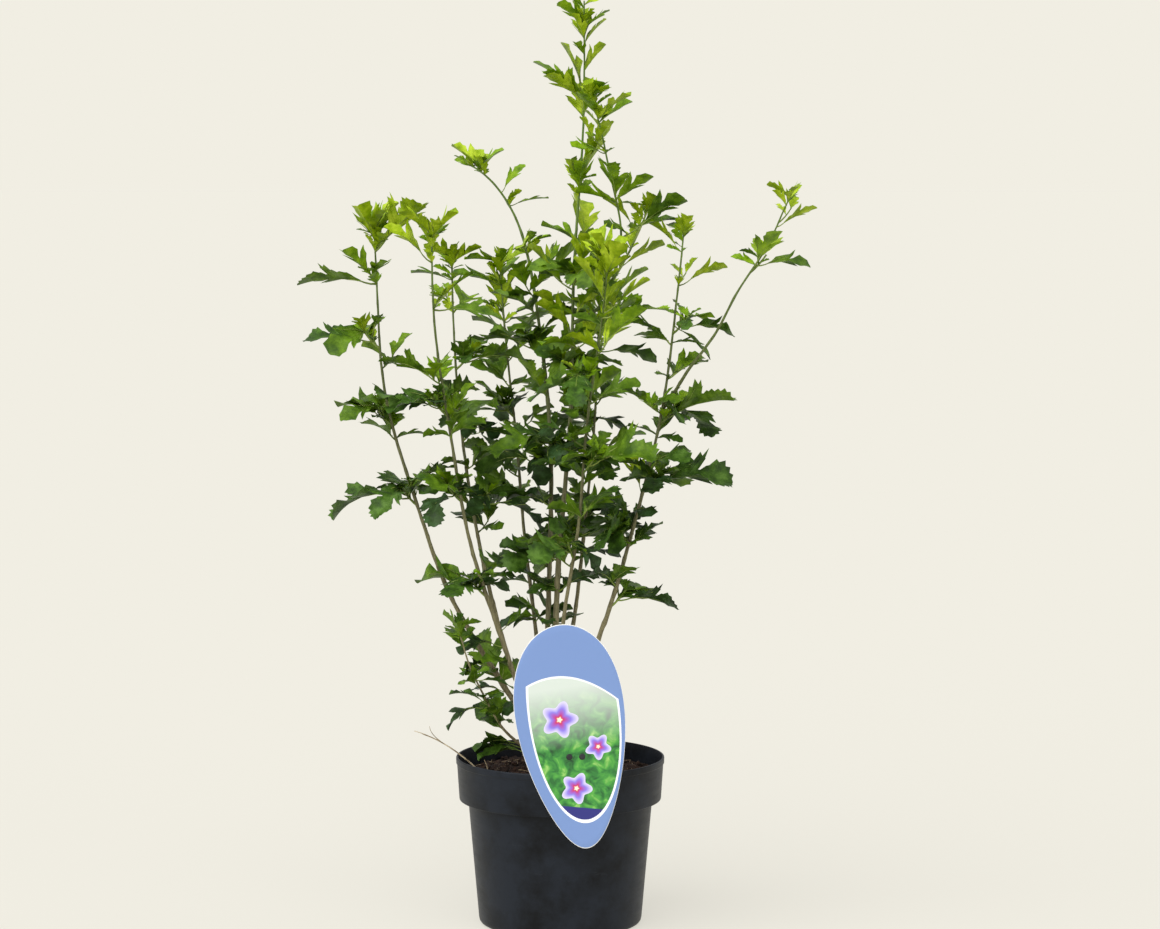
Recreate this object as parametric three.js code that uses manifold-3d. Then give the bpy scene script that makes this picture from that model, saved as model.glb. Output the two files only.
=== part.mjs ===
// A rose of sharon in its nursery pot: a young shrub of many canes, with a plant label on the rim.
// Millimetres, +Z up, the front of the plant towards -Y.
// The origin is the centre of the pot's flat underside.
import * as THREE from 'three';
import { mergeVertices } from 'three/addons/utils/BufferGeometryUtils.js';
import Module from 'manifold-3d';

const wasm = await Module();
wasm.setup();

// Clearance between two pieces that touch on the real plant.
const gap = 0.3;

// The pot: a thin moulded wall that steps out to a deep rim band, with drainage slots round its foot.
const pot = {
  height: 153,
  rimRadius: 95,
  bandHeight: 39,
  bandFootRadius: 92,
  bodyTopRadius: 84,
  footRadius: 74,
  footRound: 5,
  wall: 1.8,
  lip: 1.2,
  segments: 24,
  slots: 8,
  slotTurn: 7,
  slot: { width: 16, depth: 10, height: 5 },
};

// The compost: its level at the trunk, how much lower it lies at the wall, and the low ring-shaped
// mound round the flat bed of the trunk.
const soil = { level: 141, edgeDrop: 5, bedRadius: 28, moundRadius: 45, moundRise: 2, skirtRadius: 68 };

// The label: an egg-shaped sheet, leaning a little, carried by two pins of a clip on the rim.
const label = {
  halfLength: 101,
  halfWidth: 47.3,
  egg: 0.28,
  thickness: 0.8,
  pinHeight: 169.5,
  pinsBelowCentre: 18,
  lean: 7.5,
  turn: 8.4,
  points: 32,
};
const clip = { width: 20, thickness: 1.4, top: 175, foot: 136 };
const pin = { spacing: 11.5, radius: 1.8, stickOut: 0.8, sides: 12 };
const hook = { depth: 15, slack: 2.4 };

// The trunk: a short leaning stock with a root flare, a waist and the knuckle where it was cut back.
const trunk = {
  foot: [-12, 0],
  lean: [0.06, -0.03],
  sides: 10,
  rings: [[0, 14], [3, 11.6], [8, 9.8], [14, 9.2], [20, 10.4], [25, 12], [30, 11.6], [34, 8]],
};

// The canes and branches. Each is one tapering limb on a curve from its foot, drawn towards its knee,
// to its tip. The bare limb ends at the height "top", where the leafy tip of the cane takes over.
// girth: radius at the foot and at the tip. from: the limb that a branch springs from.
// sprays: the side shoots, by height, compass heading, the longest leaf's blade and pitch, and the
// number of leaves, or the reach of a shoot that is a leafy stem. young: 0 for old leaves, 1 for new.
const caneSides = 5;
const caneStep = 42;
const limbs = {
  cane_far_left: {
    foot: [-17, 0, 166], knee: [-172, -14, 377], tip: [-165, -30, 632], top: 574, girth: [2.9, 1.1],
    sprays: [
      { z: 384, heading: 182, blade: 67, pitch: -6, leaves: 6 },
      { z: 455, heading: 160, blade: 45, pitch: 10, leaves: 7 },
      { z: 526, heading: 184, blade: 56, pitch: 14, leaves: 5 },
    ],
    end: { heading: 180, blade: 70, young: 0.6 },
  },
  cane_left_front: {
    foot: [-16, -6, 168], knee: [-108, -32, 366], tip: [-113, -75, 632], top: 548, girth: [2.7, 1.1],
    sprays: [
      { z: 302, heading: 184, blade: 52, pitch: 4, leaves: 6 },
      { z: 390, heading: 205, blade: 56, pitch: 2, leaves: 7 },
      { z: 468, heading: 170, blade: 49, pitch: 14, leaves: 7 },
    ],
    end: { heading: 2, blade: 58, young: 0.55 },
  },
  cane_left: {
    from: 'cane_left_front', fork: 236,
    knee: [-98, 14, 400], tip: [-98, 24, 606], top: 545, girth: [2.3, 1.1],
    sprays: [
      { z: 378, heading: -8, blade: 58, pitch: 4, leaves: 7 },
      { z: 440, heading: 8, blade: 40, pitch: 6, leaves: 7 },
      { z: 505, heading: -6, blade: 54, pitch: 4, leaves: 7 },
    ],
    end: { heading: 75, blade: 50, young: 0.5 },
  },
  cane_back_left: {
    foot: [-16, 5, 168], knee: [14, 72, 655], tip: [-85, 80, 690], top: 588, girth: [2.8, 1],
    sprays: [
      { z: 322, heading: 195, blade: 60, pitch: -4, leaves: 7 },
      { z: 408, heading: 160, blade: 60, pitch: 4, leaves: 7 },
      { z: 515, heading: 188, blade: 60, pitch: 2, leaves: 7 },
    ],
    end: { heading: 250, blade: 44, young: 0.75 },
  },
  cane_tall: {
    foot: [-11, 0, 168], knee: [13, 0, 491], tip: [23, 0, 836], top: 655, girth: [3.3, 0.9],
    sprays: [
      { z: 345, heading: 350, blade: 58, pitch: 0, leaves: 7 },
      { z: 425, heading: 215, blade: 60, pitch: 4, leaves: 7 },
      { z: 498, heading: 80, blade: 63, pitch: 8, leaves: 7 },
      { z: 580, heading: 285, blade: 63, pitch: 14, leaves: 7 },
    ],
    end: { heading: 200, blade: 40, young: 0.9 },
  },
  branch_tall: {
    from: 'cane_tall', fork: 548,
    knee: [88, -6, 574], tip: [26, -22, 752], top: 690, girth: [1.8, 0.9],
    sprays: [
      { z: 586, heading: 20, blade: 47, pitch: 30, reach: 74 },
    ],
    end: { heading: 185, blade: 42, young: 0.9 },
  },
  cane_back: {
    foot: [-7, 5, 168], knee: [30, 56, 339], tip: [37, 112, 572], top: 505, girth: [2.6, 1.1],
    sprays: [
      { z: 362, heading: 40, blade: 63, pitch: -2, leaves: 7 },
      { z: 442, heading: 110, blade: 63, pitch: 4, leaves: 7 },
    ],
    end: { heading: 20, blade: 54, young: 0.35 },
  },
  cane_right: {
    foot: [-6, -3, 164], knee: [96, -44, 391], tip: [110, -28, 632], top: 572, girth: [3, 1],
    sprays: [
      { z: 292, heading: -6, blade: 54, pitch: 8, leaves: 4 },
      { z: 352, heading: 150, blade: 56, pitch: 4, leaves: 7 },
      { z: 398, heading: -4, blade: 72, pitch: 2, leaves: 7 },
      { z: 458, heading: -16, blade: 65, pitch: 8, leaves: 7 },
      { z: 540, heading: -10, blade: 45, pitch: 10, leaves: 6 },
    ],
    end: { heading: 10, blade: 42, young: 0.75 },
  },
  branch_far_right: {
    from: 'cane_right', fork: 472,
    knee: [150, -66, 557], tip: [203, -84, 662], top: 622, girth: [1.7, 0.9],
    sprays: [
      { z: 596, heading: -4, blade: 44, pitch: 4, leaves: 3 },
    ],
    end: { heading: 8, blade: 42, young: 0.9 },
  },
  cane_front: {
    foot: [-10, -7, 168], knee: [12, -50, 330], tip: [42, -98, 612], top: 545, girth: [2.6, 1.1],
    sprays: [
      { z: 340, heading: 250, blade: 56, pitch: 0, leaves: 7 },
      { z: 418, heading: 320, blade: 63, pitch: 4, leaves: 7 },
      { z: 492, heading: 210, blade: 60, pitch: 8, leaves: 7 },
    ],
    end: { heading: 330, blade: 60, young: 0.7 },
  },
  cane_rear: {
    foot: [-12, 8, 166], knee: [-34, 84, 340], tip: [-58, 138, 600], top: 530, girth: [2.6, 1.1],
    sprays: [
      { z: 370, heading: 100, blade: 63, pitch: 0, leaves: 7 },
      { z: 455, heading: 170, blade: 60, pitch: 6, leaves: 7 },
    ],
    end: { heading: 60, blade: 52, young: 0.45 },
  },
  shoot_low: {
    foot: [-18, -4, 152], knee: [-64, -34, 176], tip: [-92, -58, 282], top: 196, girth: [1.6, 0.9],
    sprays: [],
    end: { heading: 200, blade: 42, young: 0 },
  },
};

// The leaves. Half of a blade's outline, in blade lengths along it and out from its midrib: a large
// leaf has a shoulder, a side lobe, a notch and a middle lobe, a small one only a side.
const outlines = [
  { from: 34, half: [[0.18, 0.04], [0.3, 0.23], [0.54, 0.36], [0.66, 0.18], [0.85, 0.15], [1, 0]] },
  { from: 22, half: [[0.2, 0.04], [0.52, 0.34], [0.66, 0.17], [1, 0]] },
  { from: 0, half: [[0.2, 0.04], [0.55, 0.3], [1, 0]] },
];
const leaf = { thickness: 0.03, crown: 0.45, petioleRadius: 0.75, petioleShare: 0.3 };

// How a leaf stands: by how much its size, heading, pitch and roll vary, how far its face leans
// outwards, and how much the blade droops and folds. Angles are in degrees.
const stance = { size: 0.24, heading: 24, pitch: 30, roll: 80, outward: 0.35 };
const droop = { least: 0.25, age: 0.3, ageSpread: 0.8, spread: 0.2 };
const fold = { least: 0.12, youth: 0.45, spread: 0.2 };

// A leaf that finds no room is turned about its root and tried again.
const retry = { times: 5, turn: 22 };

// A stem's nodes. Each has a leaf, and in its axil a smaller leaf or, at every third, a side twig.
const goldenAngle = 137.5;
const node = { spacing: 34, first: 0.35, youth: 0.4, shorter: 0.4, pitch: 12, lift: 40, twigEvery: 3 };
const axil = { rise: 4, youth: 0.3 };
const axilTwig = { blade: 0.55, turn: 40, pitch: 35 };
const axilLeaf = { blade: 0.5, turn: -30, pitch: 40 };
const rosette = { leaves: 4, from: 0.98, step: 0.05, blade: 0.64, shorter: 0.07, pitch: 30, lift: 9 };

// Twigs are three-sided and leave their stem at its axis, so that their roots are sunk well in.
// A side twig ends in a fan of small leaves.
const twig = { sides: 3, radius: 1, tipRadius: 0.7, reach: 20, least: 0.5, spread: 0.7, leaves: 2 };
const twigFan = { from: 0.94, step: 0.36, turn: 60, widen: 25, shorter: 0.12, lift: 12, drop: 8 };
const stemStep = 30;

// A side shoot: the steepness of its twig, the heights over which leaves turn from old to young, its
// main leaf, its side twig and its fan of side leaves.
const shoot = { pitch: 48, stemPitch: 62, oldBelow: 380, youthSpan: 420, thicker: 1.2, thinner: 0.8 };
const mainLeaf = { at: 0.35, lift: 8 };
const sideTwig = { at: 0.5, blade: 0.42, turn: 100, pitch: 40, youth: 0.2 };
const shootFan = {
  from: 0.96, step: 0.2, blade: 0.82, shorter: 0.1, turn: 62, widen: 30, pitch: 2, lift: 20,
};

// How clear a leaf keeps of other shoots' leaves, of the limbs, and of the pot and the label.
const clear = { leaves: 7, sameShoot: 2.5, limbs: 3.6, potTop: 156, spacing: 5 };
const probeStep = 4;

const materials = {
  pot: [0x23262a, 0.55],
  soil: [0x2e2018, 0.95],
  label: [0x8fb0e2, 0.35],
  clip: [0x1b1b1d, 0.45],
  bark: [0x7d7355, 0.85],
  oldLeaf: [0x35651d, 0.5],
  youngLeaf: [0x86ab1c, 0.45],
};

const plant = new THREE.Group();

// Adds a closed solid to the plant as one named mesh, with a material of its own.
function addPart(name, solid, finish, parent = plant) {
  const [color, roughness] = materials[finish];
  const material = new THREE.MeshStandardMaterial({ color, roughness, metalness: 0 });
  const mesh = new THREE.Mesh(toGeometry(solid), material);
  mesh.name = name;
  parent.add(mesh);
  return mesh;
}

// A closed three.js geometry as a manifold solid.
function toSolid(geometry) {
  const bare = geometry.clone();
  bare.deleteAttribute('normal');
  bare.deleteAttribute('uv');
  const merged = mergeVertices(bare, 1e-3);
  const corners = merged.index.array;
  const kept = [];
  for (let i = 0; i < corners.length; i += 3) {
    const [a, b, c] = [corners[i], corners[i + 1], corners[i + 2]];
    if (a !== b && b !== c && c !== a) {
      kept.push(a, b, c);
    }
  }
  const vertProperties = new Float32Array(merged.attributes.position.array);
  return new wasm.Manifold(new wasm.Mesh({ numProp: 3, vertProperties, triVerts: new Uint32Array(kept) }));
}

// A manifold solid as a three.js geometry.
function toGeometry(solid) {
  const { vertProperties, triVerts } = solid.getMesh();
  const geometry = new THREE.BufferGeometry();
  geometry.setAttribute('position', new THREE.BufferAttribute(new Float32Array(vertProperties), 3));
  geometry.setIndex(new THREE.BufferAttribute(new Uint32Array(triVerts), 1));
  geometry.computeVertexNormals();
  return geometry;
}

// A closed solid from its corner points and its triangles, which list corners anticlockwise from outside.
function solidFrom(corners, triangles) {
  const vertProperties = new Float32Array(corners.flatMap((point) => [point.x, point.y, point.z]));
  const triVerts = new Uint32Array(triangles.flat());
  return new wasm.Manifold(new wasm.Mesh({ numProp: 3, vertProperties, triVerts }));
}

// Joins solids into one, drops any scrap that stays loose and fills any hollow that joining seals.
function fuse(solids) {
  let whole = solids[0];
  for (const solid of solids.slice(1)) {
    whole = whole.add(solid);
  }
  return largestBody(whole);
}

function largestBody(solid) {
  return solid.decompose().reduce((best, body) => (body.volume() > best.volume() ? body : best));
}

// ---- Small vector helpers

const radians = THREE.MathUtils.degToRad;
const vector = ([x, y, z]) => new THREE.Vector3(x, y, z);

// The unit vector at a compass heading (0 along +X, 90 along +Y) and a pitch above the level, in degrees.
function direction(heading, pitch) {
  const [h, p] = [radians(heading), radians(pitch)];
  return new THREE.Vector3(Math.cos(h) * Math.cos(p), Math.sin(h) * Math.cos(p), Math.sin(p));
}

// A part of a vector at right angles to a unit axis, as a unit vector.
function squareTo(axis, reference) {
  return reference.clone().addScaledVector(axis, -axis.dot(reference)).normalize();
}

// A seeded row of numbers from 0 to 1, the same on every run.
function seeded(seed) {
  let state = seed;
  return () => {
    state = (state * 16807) % 2147483647;
    return state / 2147483647;
  };
}

// ---- Limbs

// A tapering limb: a ring of corners round each point of its path, closed flat at both ends.
// The rings lie square to the path, or level where the limb is cut level at its foot.
function limbSolid(path, radii, sides, level = false) {
  const corners = [];
  let across = null;
  path.forEach((point, i) => {
    const ahead = path[Math.min(i + 1, path.length - 1)];
    const behind = path[Math.max(i - 1, 0)];
    const along = level ? new THREE.Vector3(0, 0, 1) : ahead.clone().sub(behind).normalize();
    const start = Math.abs(along.z) > 0.8 ? new THREE.Vector3(1, 0, 0) : new THREE.Vector3(0, 0, 1);
    across = squareTo(along, across ?? start);
    const third = along.clone().cross(across);
    for (let k = 0; k < sides; k += 1) {
      const turn = (2 * Math.PI * k) / sides;
      const corner = point.clone().addScaledVector(across, radii[i] * Math.cos(turn));
      corners.push(corner.addScaledVector(third, radii[i] * Math.sin(turn)));
    }
  });
  const triangles = [];
  for (let k = 0; k < sides; k += 1) {
    const next = (k + 1) % sides;
    for (let i = 0; i < path.length - 1; i += 1) {
      const [low, high] = [i * sides, (i + 1) * sides];
      triangles.push([low + k, low + next, high + next], [low + k, high + next, high + k]);
    }
    if (k > 0 && next > 0) {
      const last = (path.length - 1) * sides;
      triangles.push([0, next, k], [last, last + k, last + next]);
    }
  }
  return solidFrom(corners, triangles);
}

// A point of a limb's curve at t from 0 to 1: drawn from the foot towards the knee to the tip,
// with a slight sway of the young wood.
const sway = { size: 1.6, waves: 2.5 };
function curvePoint(limb, t) {
  const point = new THREE.QuadraticBezierCurve3(limb.foot, limb.knee, limb.tip).getPoint(t);
  const swing = sway.size * Math.sin(2 * Math.PI * sway.waves * t + limb.order) * Math.min(1, 5 * t);
  return point.addScaledVector(direction(limb.order * goldenAngle, 0), swing);
}

// How far along its curve a limb reaches a height, by halving.
function reachesHeight(limb, height) {
  let [low, high] = [0, 1];
  for (let step = 0; step < 30; step += 1) {
    const middle = (low + high) / 2;
    if (curvePoint(limb, middle).z < height) {
      low = middle;
    } else {
      high = middle;
    }
  }
  return (low + high) / 2;
}

// A limb's radius at t. It tapers a little faster near its foot.
const taper = 0.8;
const girthAt = (limb, t) => limb.girth[0] + (limb.girth[1] - limb.girth[0]) * t ** taper;

// The stretch of a limb between two places on its curve, as points and radii a step apart.
function stretch(limb, from, to, step) {
  const length = curvePoint(limb, from).distanceTo(curvePoint(limb, to));
  const count = Math.max(2, Math.round(length / step));
  const places = Array.from({ length: count + 1 }, (_, i) => from + ((to - from) * i) / count);
  return { path: places.map((t) => curvePoint(limb, t)), radii: places.map((t) => girthAt(limb, t)) };
}

// ---- Leaves

// A point of a leaf's blade, in blade lengths along it and across it. The blade bends down along
// an arc (droop), and both its halves are raised from the midrib (fold).
function bladePoint(shape, along, across, lift = 0) {
  const angle = shape.droop * along;
  const forward = Math.sin(angle) / shape.droop;
  const fall = (1 - Math.cos(angle)) / shape.droop;
  const raised = shape.fold * Math.abs(across) + lift;
  return shape.base
    .clone()
    .addScaledVector(shape.ahead, shape.blade * (forward + raised * Math.sin(angle)))
    .addScaledVector(shape.side, shape.blade * across)
    .addScaledVector(shape.up, shape.blade * (raised * Math.cos(angle) - fall));
}

// A leaf as one closed solid: a thin blade, which is a fan of faces above and one below. The blade of
// a stalked leaf opens out of a three-sided petiole. Any other leaf's blade starts inside its twig.
function leafSolid(shape) {
  const { half } = outlines.find(({ from }) => shape.blade >= from);
  const sides = half.slice(shape.stalked ? 1 : 0, -1);
  const right = sides.map(([along, across]) => bladePoint(shape, along, -across));
  const left = sides.map(([along, across]) => bladePoint(shape, along, across));
  const outline = [...right, bladePoint(shape, 1, 0), ...left.reverse()];
  const corners = shape.stalked ? petioleCorners(shape) : [shape.base];
  const first = corners.length;
  corners.push(...outline);
  const above = corners.push(bladePoint(shape, leaf.crown, 0, leaf.thickness / 2)) - 1;
  const below = corners.push(bladePoint(shape, leaf.crown, 0, -leaf.thickness / 2)) - 1;
  const edge = outline.map((_, i) => first + i);
  const ring = shape.stalked ? [4, ...edge, 3] : [0, ...edge];
  const underRing = shape.stalked ? [...ring, 5] : ring;
  const triangles = shape.stalked ? [...petioleTriangles] : [];
  ring.forEach((corner, i) => {
    triangles.push([corner, ring[(i + 1) % ring.length], above]);
  });
  underRing.forEach((corner, i) => {
    triangles.push([underRing[(i + 1) % underRing.length], corner, below]);
  });
  return solidFrom(corners, triangles);
}

// A petiole's corners: left, right and below at its root, and the same where the blade begins.
function petioleCorners(shape) {
  return [shape.root, shape.base].flatMap((centre) => [
    centre.clone().addScaledVector(shape.side, leaf.petioleRadius),
    centre.clone().addScaledVector(shape.side, -leaf.petioleRadius),
    centre.clone().addScaledVector(shape.up, -1.4 * leaf.petioleRadius),
  ]);
}
const petioleTriangles = [[0, 2, 1], [0, 1, 4], [0, 4, 3], [1, 2, 5], [1, 5, 4], [2, 0, 3], [2, 3, 5]];

// Half the width of a blade's outline, in blade lengths.
function halfWidth(along) {
  const stations = [[0, 0.03], [0.16, 0.22], [0.46, 0.37], [1, 0]];
  const next = Math.max(1, stations.findIndex(([place]) => place >= along));
  const [[a, from], [b, to]] = [stations[next - 1], stations[next]];
  return from + ((to - from) * (along - a)) / (b - a);
}

// Points spread over a leaf, close enough together that nothing passes between them.
function leafProbes(shape) {
  const rows = Math.ceil(shape.blade / clear.spacing);
  const columns = Math.ceil((0.33 * shape.blade) / clear.spacing);
  const probes = [];
  for (let i = 0; i <= rows; i += 1) {
    for (let j = -columns; j <= columns; j += 1) {
      probes.push(bladePoint(shape, i / rows, (halfWidth(i / rows) * j) / columns));
    }
  }
  return probes;
}

// What stands in a new leaf's way: the points of all limbs with their radii, and all leaves so far.
const limbProbes = [];
const leavesSoFar = [];

function nearPoints(points, others, distance) {
  const limit = distance * distance;
  return points.some((point) => others.some((other) => point.distanceToSquared(other) < limit));
}

// The probes of a leaf's outer part, which come last.
const outerPart = (probes, share) => probes.slice(Math.floor(probes.length * share));

// Whether a leaf keeps to its own shoot's space.
function isClear(shape, mass) {
  const probes = leafProbes(shape);
  const centre = bladePoint(shape, 0.5, 0);
  const reach = shape.blade * 0.6;
  if (probes.some((point) => point.z < clear.potTop)) {
    return false;
  }
  if (probes.some((point) => labelBox.distanceToPoint(point) < clear.leaves)) {
    return false;
  }
  for (const limb of limbProbes) {
    const distance = limb.radius + clear.limbs;
    if (limb.owner !== mass.name && limb.point.distanceTo(centre) < reach + distance) {
      const outer = limb.owner === mass.limb ? 0.3 : 0;
      if (nearPoints(outerPart(probes, outer), [limb.point], distance)) {
        return false;
      }
    }
  }
  for (const other of leavesSoFar) {
    const distance = other.owner === mass.name ? clear.sameShoot : clear.leaves;
    if (other.centre.distanceTo(centre) < other.reach + reach + distance) {
      const outer = other.owner === mass.name ? 0.5 : 0;
      if (nearPoints(outerPart(probes, outer), outerPart(other.probes, outer), distance)) {
        return false;
      }
    }
  }
  leavesSoFar.push({ owner: mass.name, centre, reach, probes });
  return true;
}

// A leaf that grows from a point of a twig. It has a size, a heading and a pitch, and its age:
// an old leaf droops and lies level, a young one is folded and stands up.
function placeLeaf(mass, root, blade, heading, pitch, young, draw, stalked = false) {
  const chance = [draw(), draw(), draw(), draw(), draw()];
  const size = blade * (1 + stance.size * (chance[0] - 0.5));
  const petiole = stalked ? leaf.petioleShare * size * (0.7 + 0.6 * chance[1]) : 0;
  const ownHeading = stance.heading * (chance[2] - 0.5);
  const ownPitch = pitch + stance.pitch * (chance[3] - 0.5);
  const age = droop.age + droop.ageSpread * chance[1];
  for (let attempt = 0; attempt < retry.times; attempt += 1) {
    const turn = (attempt % 2 === 0 ? retry.turn : -retry.turn) * attempt;
    const ahead = direction(heading + turn + ownHeading, ownPitch);
    const outward = direction(heading + turn, 0);
    const level = squareTo(ahead, new THREE.Vector3(0, 0, 1).addScaledVector(outward, -stance.outward));
    const roll = radians(stance.roll * (chance[4] - 0.5));
    const side = level.clone().cross(ahead).applyAxisAngle(ahead, roll);
    const shape = {
      root,
      stalked,
      base: root.clone().addScaledVector(ahead, petiole),
      ahead,
      side,
      up: ahead.clone().cross(side),
      blade: size,
      droop: droop.least + (1 - young) * age + droop.spread * chance[4],
      fold: fold.least + fold.youth * young * chance[0] + fold.spread * chance[3],
    };
    if (isClear(shape, mass)) {
      mass.solids.push(leafSolid(shape));
      return;
    }
  }
}

// The points a few millimetres apart from one end of a twig to the other.
function twigProbes(root, end) {
  const count = Math.ceil(root.distanceTo(end) / probeStep);
  return Array.from({ length: count + 1 }, (_, i) => root.clone().lerp(end, i / count));
}

// Whether a twig passes clear of what isn't its own shoot or limb.
function isTwigClear(root, end, mass) {
  const probes = twigProbes(root, end);
  const touchesLimb = limbProbes.some(
    ({ owner, point, radius }) =>
      owner !== mass.name && owner !== mass.limb && nearPoints(probes, [point], radius + clear.limbs),
  );
  const touchesLeaf = leavesSoFar.some(
    (other) => other.owner !== mass.name && nearPoints(probes, other.probes, clear.limbs + twig.radius),
  );
  return !touchesLimb && !touchesLeaf;
}

// Adds a straight twig to a shoot, where it stands in the way of the leaves that come after it.
function addTwig(mass, root, end, radius) {
  mass.solids.push(limbSolid([root, end], [radius, twig.tipRadius], twig.sides));
  const probes = twigProbes(root, end);
  limbProbes.push(...probes.map((point) => ({ owner: mass.name, point, radius: twig.radius })));
}

// A short side twig with a fan of small leaves at its end.
function placeTwig(mass, root, blade, heading, pitch, young, draw) {
  const length = twig.reach * (twig.least + twig.spread * draw());
  const end = root.clone().addScaledVector(direction(heading, pitch), length);
  if (!isTwigClear(root, end, mass)) {
    return;
  }
  addTwig(mass, root, end, twig.radius * shoot.thinner);
  for (let i = 0; i < twig.leaves; i += 1) {
    const inside = root.clone().lerp(end, twigFan.from - twigFan.step * i);
    const spread = i === 0 ? 0 : (i % 2 === 0 ? -1 : 1) * (twigFan.turn + twigFan.widen * i);
    const small = blade * (1 - twigFan.shorter * i);
    placeLeaf(mass, inside, small, heading + spread, pitch + twigFan.lift - twigFan.drop * i, young, draw);
  }
}

// The nodes of a stem: at each one a leaf, and a small leaf or a side twig in its axil, turning by the
// golden angle from one node to the next. The stem ends in a rosette of young leaves.
function growAlong(mass, stem, plan, draw) {
  const spaces = Math.max(1, Math.round(stem.length / node.spacing));
  for (let i = 0; i < spaces; i += 1) {
    const share = (i + node.first) / spaces;
    const heading = plan.heading + goldenAngle * i;
    const young = Math.min(1, plan.young + node.youth * share);
    const blade = plan.blade * (1 - node.shorter * share);
    const pitch = node.pitch + node.lift * young * share;
    placeLeaf(mass, stem.at(share), blade, heading, pitch, young, draw, true);
    const above = stem.at(share + axil.rise / stem.length);
    const younger = Math.min(1, young + axil.youth);
    if (i % node.twigEvery === 0) {
      const { turn, pitch: steep } = axilTwig;
      placeTwig(mass, above, blade * axilTwig.blade, heading + turn, steep, younger, draw);
    } else {
      const { turn, pitch: steep } = axilLeaf;
      placeLeaf(mass, above, blade * axilLeaf.blade, heading + turn, steep, younger, draw);
    }
  }
  for (let i = 0; i < rosette.leaves; i += 1) {
    const root = stem.at(rosette.from - rosette.step * i);
    const blade = plan.blade * (rosette.blade - rosette.shorter * i);
    const heading = plan.heading + goldenAngle * (i + 1);
    placeLeaf(mass, root, blade, heading, rosette.pitch + rosette.lift * i, 1, draw);
  }
}

// The leafy tip of a limb: its stem carries the limb's curve on from where the bare limb ends.
function growTip(name, limb, seed) {
  const mass = { name, limb: limb.name, solids: [] };
  const start = limb.end.from + gap / limb.length;
  const { path, radii } = stretch(limb, start, 1, stemStep);
  const stem = {
    length: curvePoint(limb, start).distanceTo(limb.tip),
    at: (share) => curvePoint(limb, start + (1 - start) * share),
  };
  mass.solids.push(limbSolid(path, radii, twig.sides + 1));
  growAlong(mass, stem, limb.end, seeded(seed));
  return fuse(mass.solids);
}

// A side shoot: a twig from a limb's axis with its longest leaf out in front, smaller ones to its sides
// and a side twig. What lies inside the limb, and within a gap of it, is cut away.
function growSpray(name, limb, plan, seed) {
  const mass = { name, limb: limb.name, solids: [] };
  const draw = seeded(seed);
  const place = reachesHeight(limb, plan.z);
  const root = curvePoint(limb, place);
  const radius = girthAt(limb, place);
  const reach = plan.reach ?? twig.reach;
  const out = direction(plan.heading, plan.reach ? shoot.stemPitch : shoot.pitch);
  const at = (share) => root.clone().addScaledVector(out, radius + reach * share);
  addTwig(mass, root, at(1), twig.radius * shoot.thicker);
  if (plan.reach) {
    growAlong(mass, { length: reach, at }, { ...plan, young: 1 }, draw);
  } else {
    const young = THREE.MathUtils.clamp((plan.z - shoot.oldBelow) / shoot.youthSpan, 0, 1);
    const { blade, heading, pitch } = plan;
    placeLeaf(mass, at(mainLeaf.at), blade, heading, pitch + mainLeaf.lift, young, draw, true);
    const { turn, pitch: steep, youth } = sideTwig;
    placeTwig(mass, at(sideTwig.at), blade * sideTwig.blade, heading + turn, steep, young + youth, draw);
    for (let i = 0; i < plan.leaves - 1 - twig.leaves; i += 1) {
      const spread = (i % 2 === 0 ? 1 : -1) * (shootFan.turn + shootFan.widen * i);
      const small = blade * (shootFan.blade - shootFan.shorter * i);
      const sideRoot = at(shootFan.from - shootFan.step * i);
      placeLeaf(mass, sideRoot, small, heading + spread, shootFan.pitch + shootFan.lift * i, young, draw);
    }
  }
  return largestBody(fuse(mass.solids).subtract(limb.clearance));
}

// ---- Pot, compost, label and clip

// A solid of revolution about the upright axis, from a closed profile of radii and heights.
function turned(profile, segments) {
  const points = profile.map(([radius, height]) => new THREE.Vector2(radius, height));
  const lathe = new THREE.LatheGeometry([...points, points[0].clone()], segments);
  return toSolid(lathe.rotateX(Math.PI / 2));
}

// A box that reaches between two corners, as a solid.
function boxBetween(low, high) {
  const [width, depth, height] = high.map((value, i) => value - low[i]);
  const box = new THREE.BoxGeometry(width, depth, height);
  return toSolid(box.translate(...low.map((value, i) => (value + high[i]) / 2)));
}

const bandFoot = pot.height - pot.bandHeight;
const innerRim = pot.rimRadius - pot.wall;

// The pot's inside from its floor to its rim, drawn in by a margin, as radii and heights.
function potInside(margin) {
  const floor = pot.wall + margin;
  return [
    [0, floor],
    [pot.footRadius - pot.wall - margin, floor],
    [pot.bodyTopRadius - pot.wall - margin, bandFoot + margin],
    [pot.bandFootRadius - pot.wall - margin, bandFoot + pot.wall + margin],
  ];
}

function makePot() {
  const corner = [0, 30, 60, 90].map((degrees) => [
    pot.footRadius - pot.footRound * (1 - Math.sin(radians(degrees))),
    pot.footRound * (1 - Math.cos(radians(degrees))),
  ]);
  const outside = [
    [0, 0],
    ...corner,
    [pot.bodyTopRadius, bandFoot],
    [pot.bandFootRadius, bandFoot],
    [pot.rimRadius, pot.height - 2 * pot.lip],
    [pot.rimRadius, pot.height - pot.lip],
    [pot.rimRadius - pot.lip / 2, pot.height],
    [innerRim, pot.height],
  ];
  let solid = turned([...outside, ...potInside(0).reverse()], pot.segments);
  const { width, depth, height } = pot.slot;
  for (let i = 0; i < pot.slots; i += 1) {
    const slot = new THREE.BoxGeometry(width, 2 * depth, 2 * height);
    slot.translate(0, -pot.footRadius, 0);
    slot.rotateZ(radians((360 * i) / pot.slots - pot.slotTurn));
    solid = solid.subtract(toSolid(slot));
  }
  return solid;
}

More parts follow.
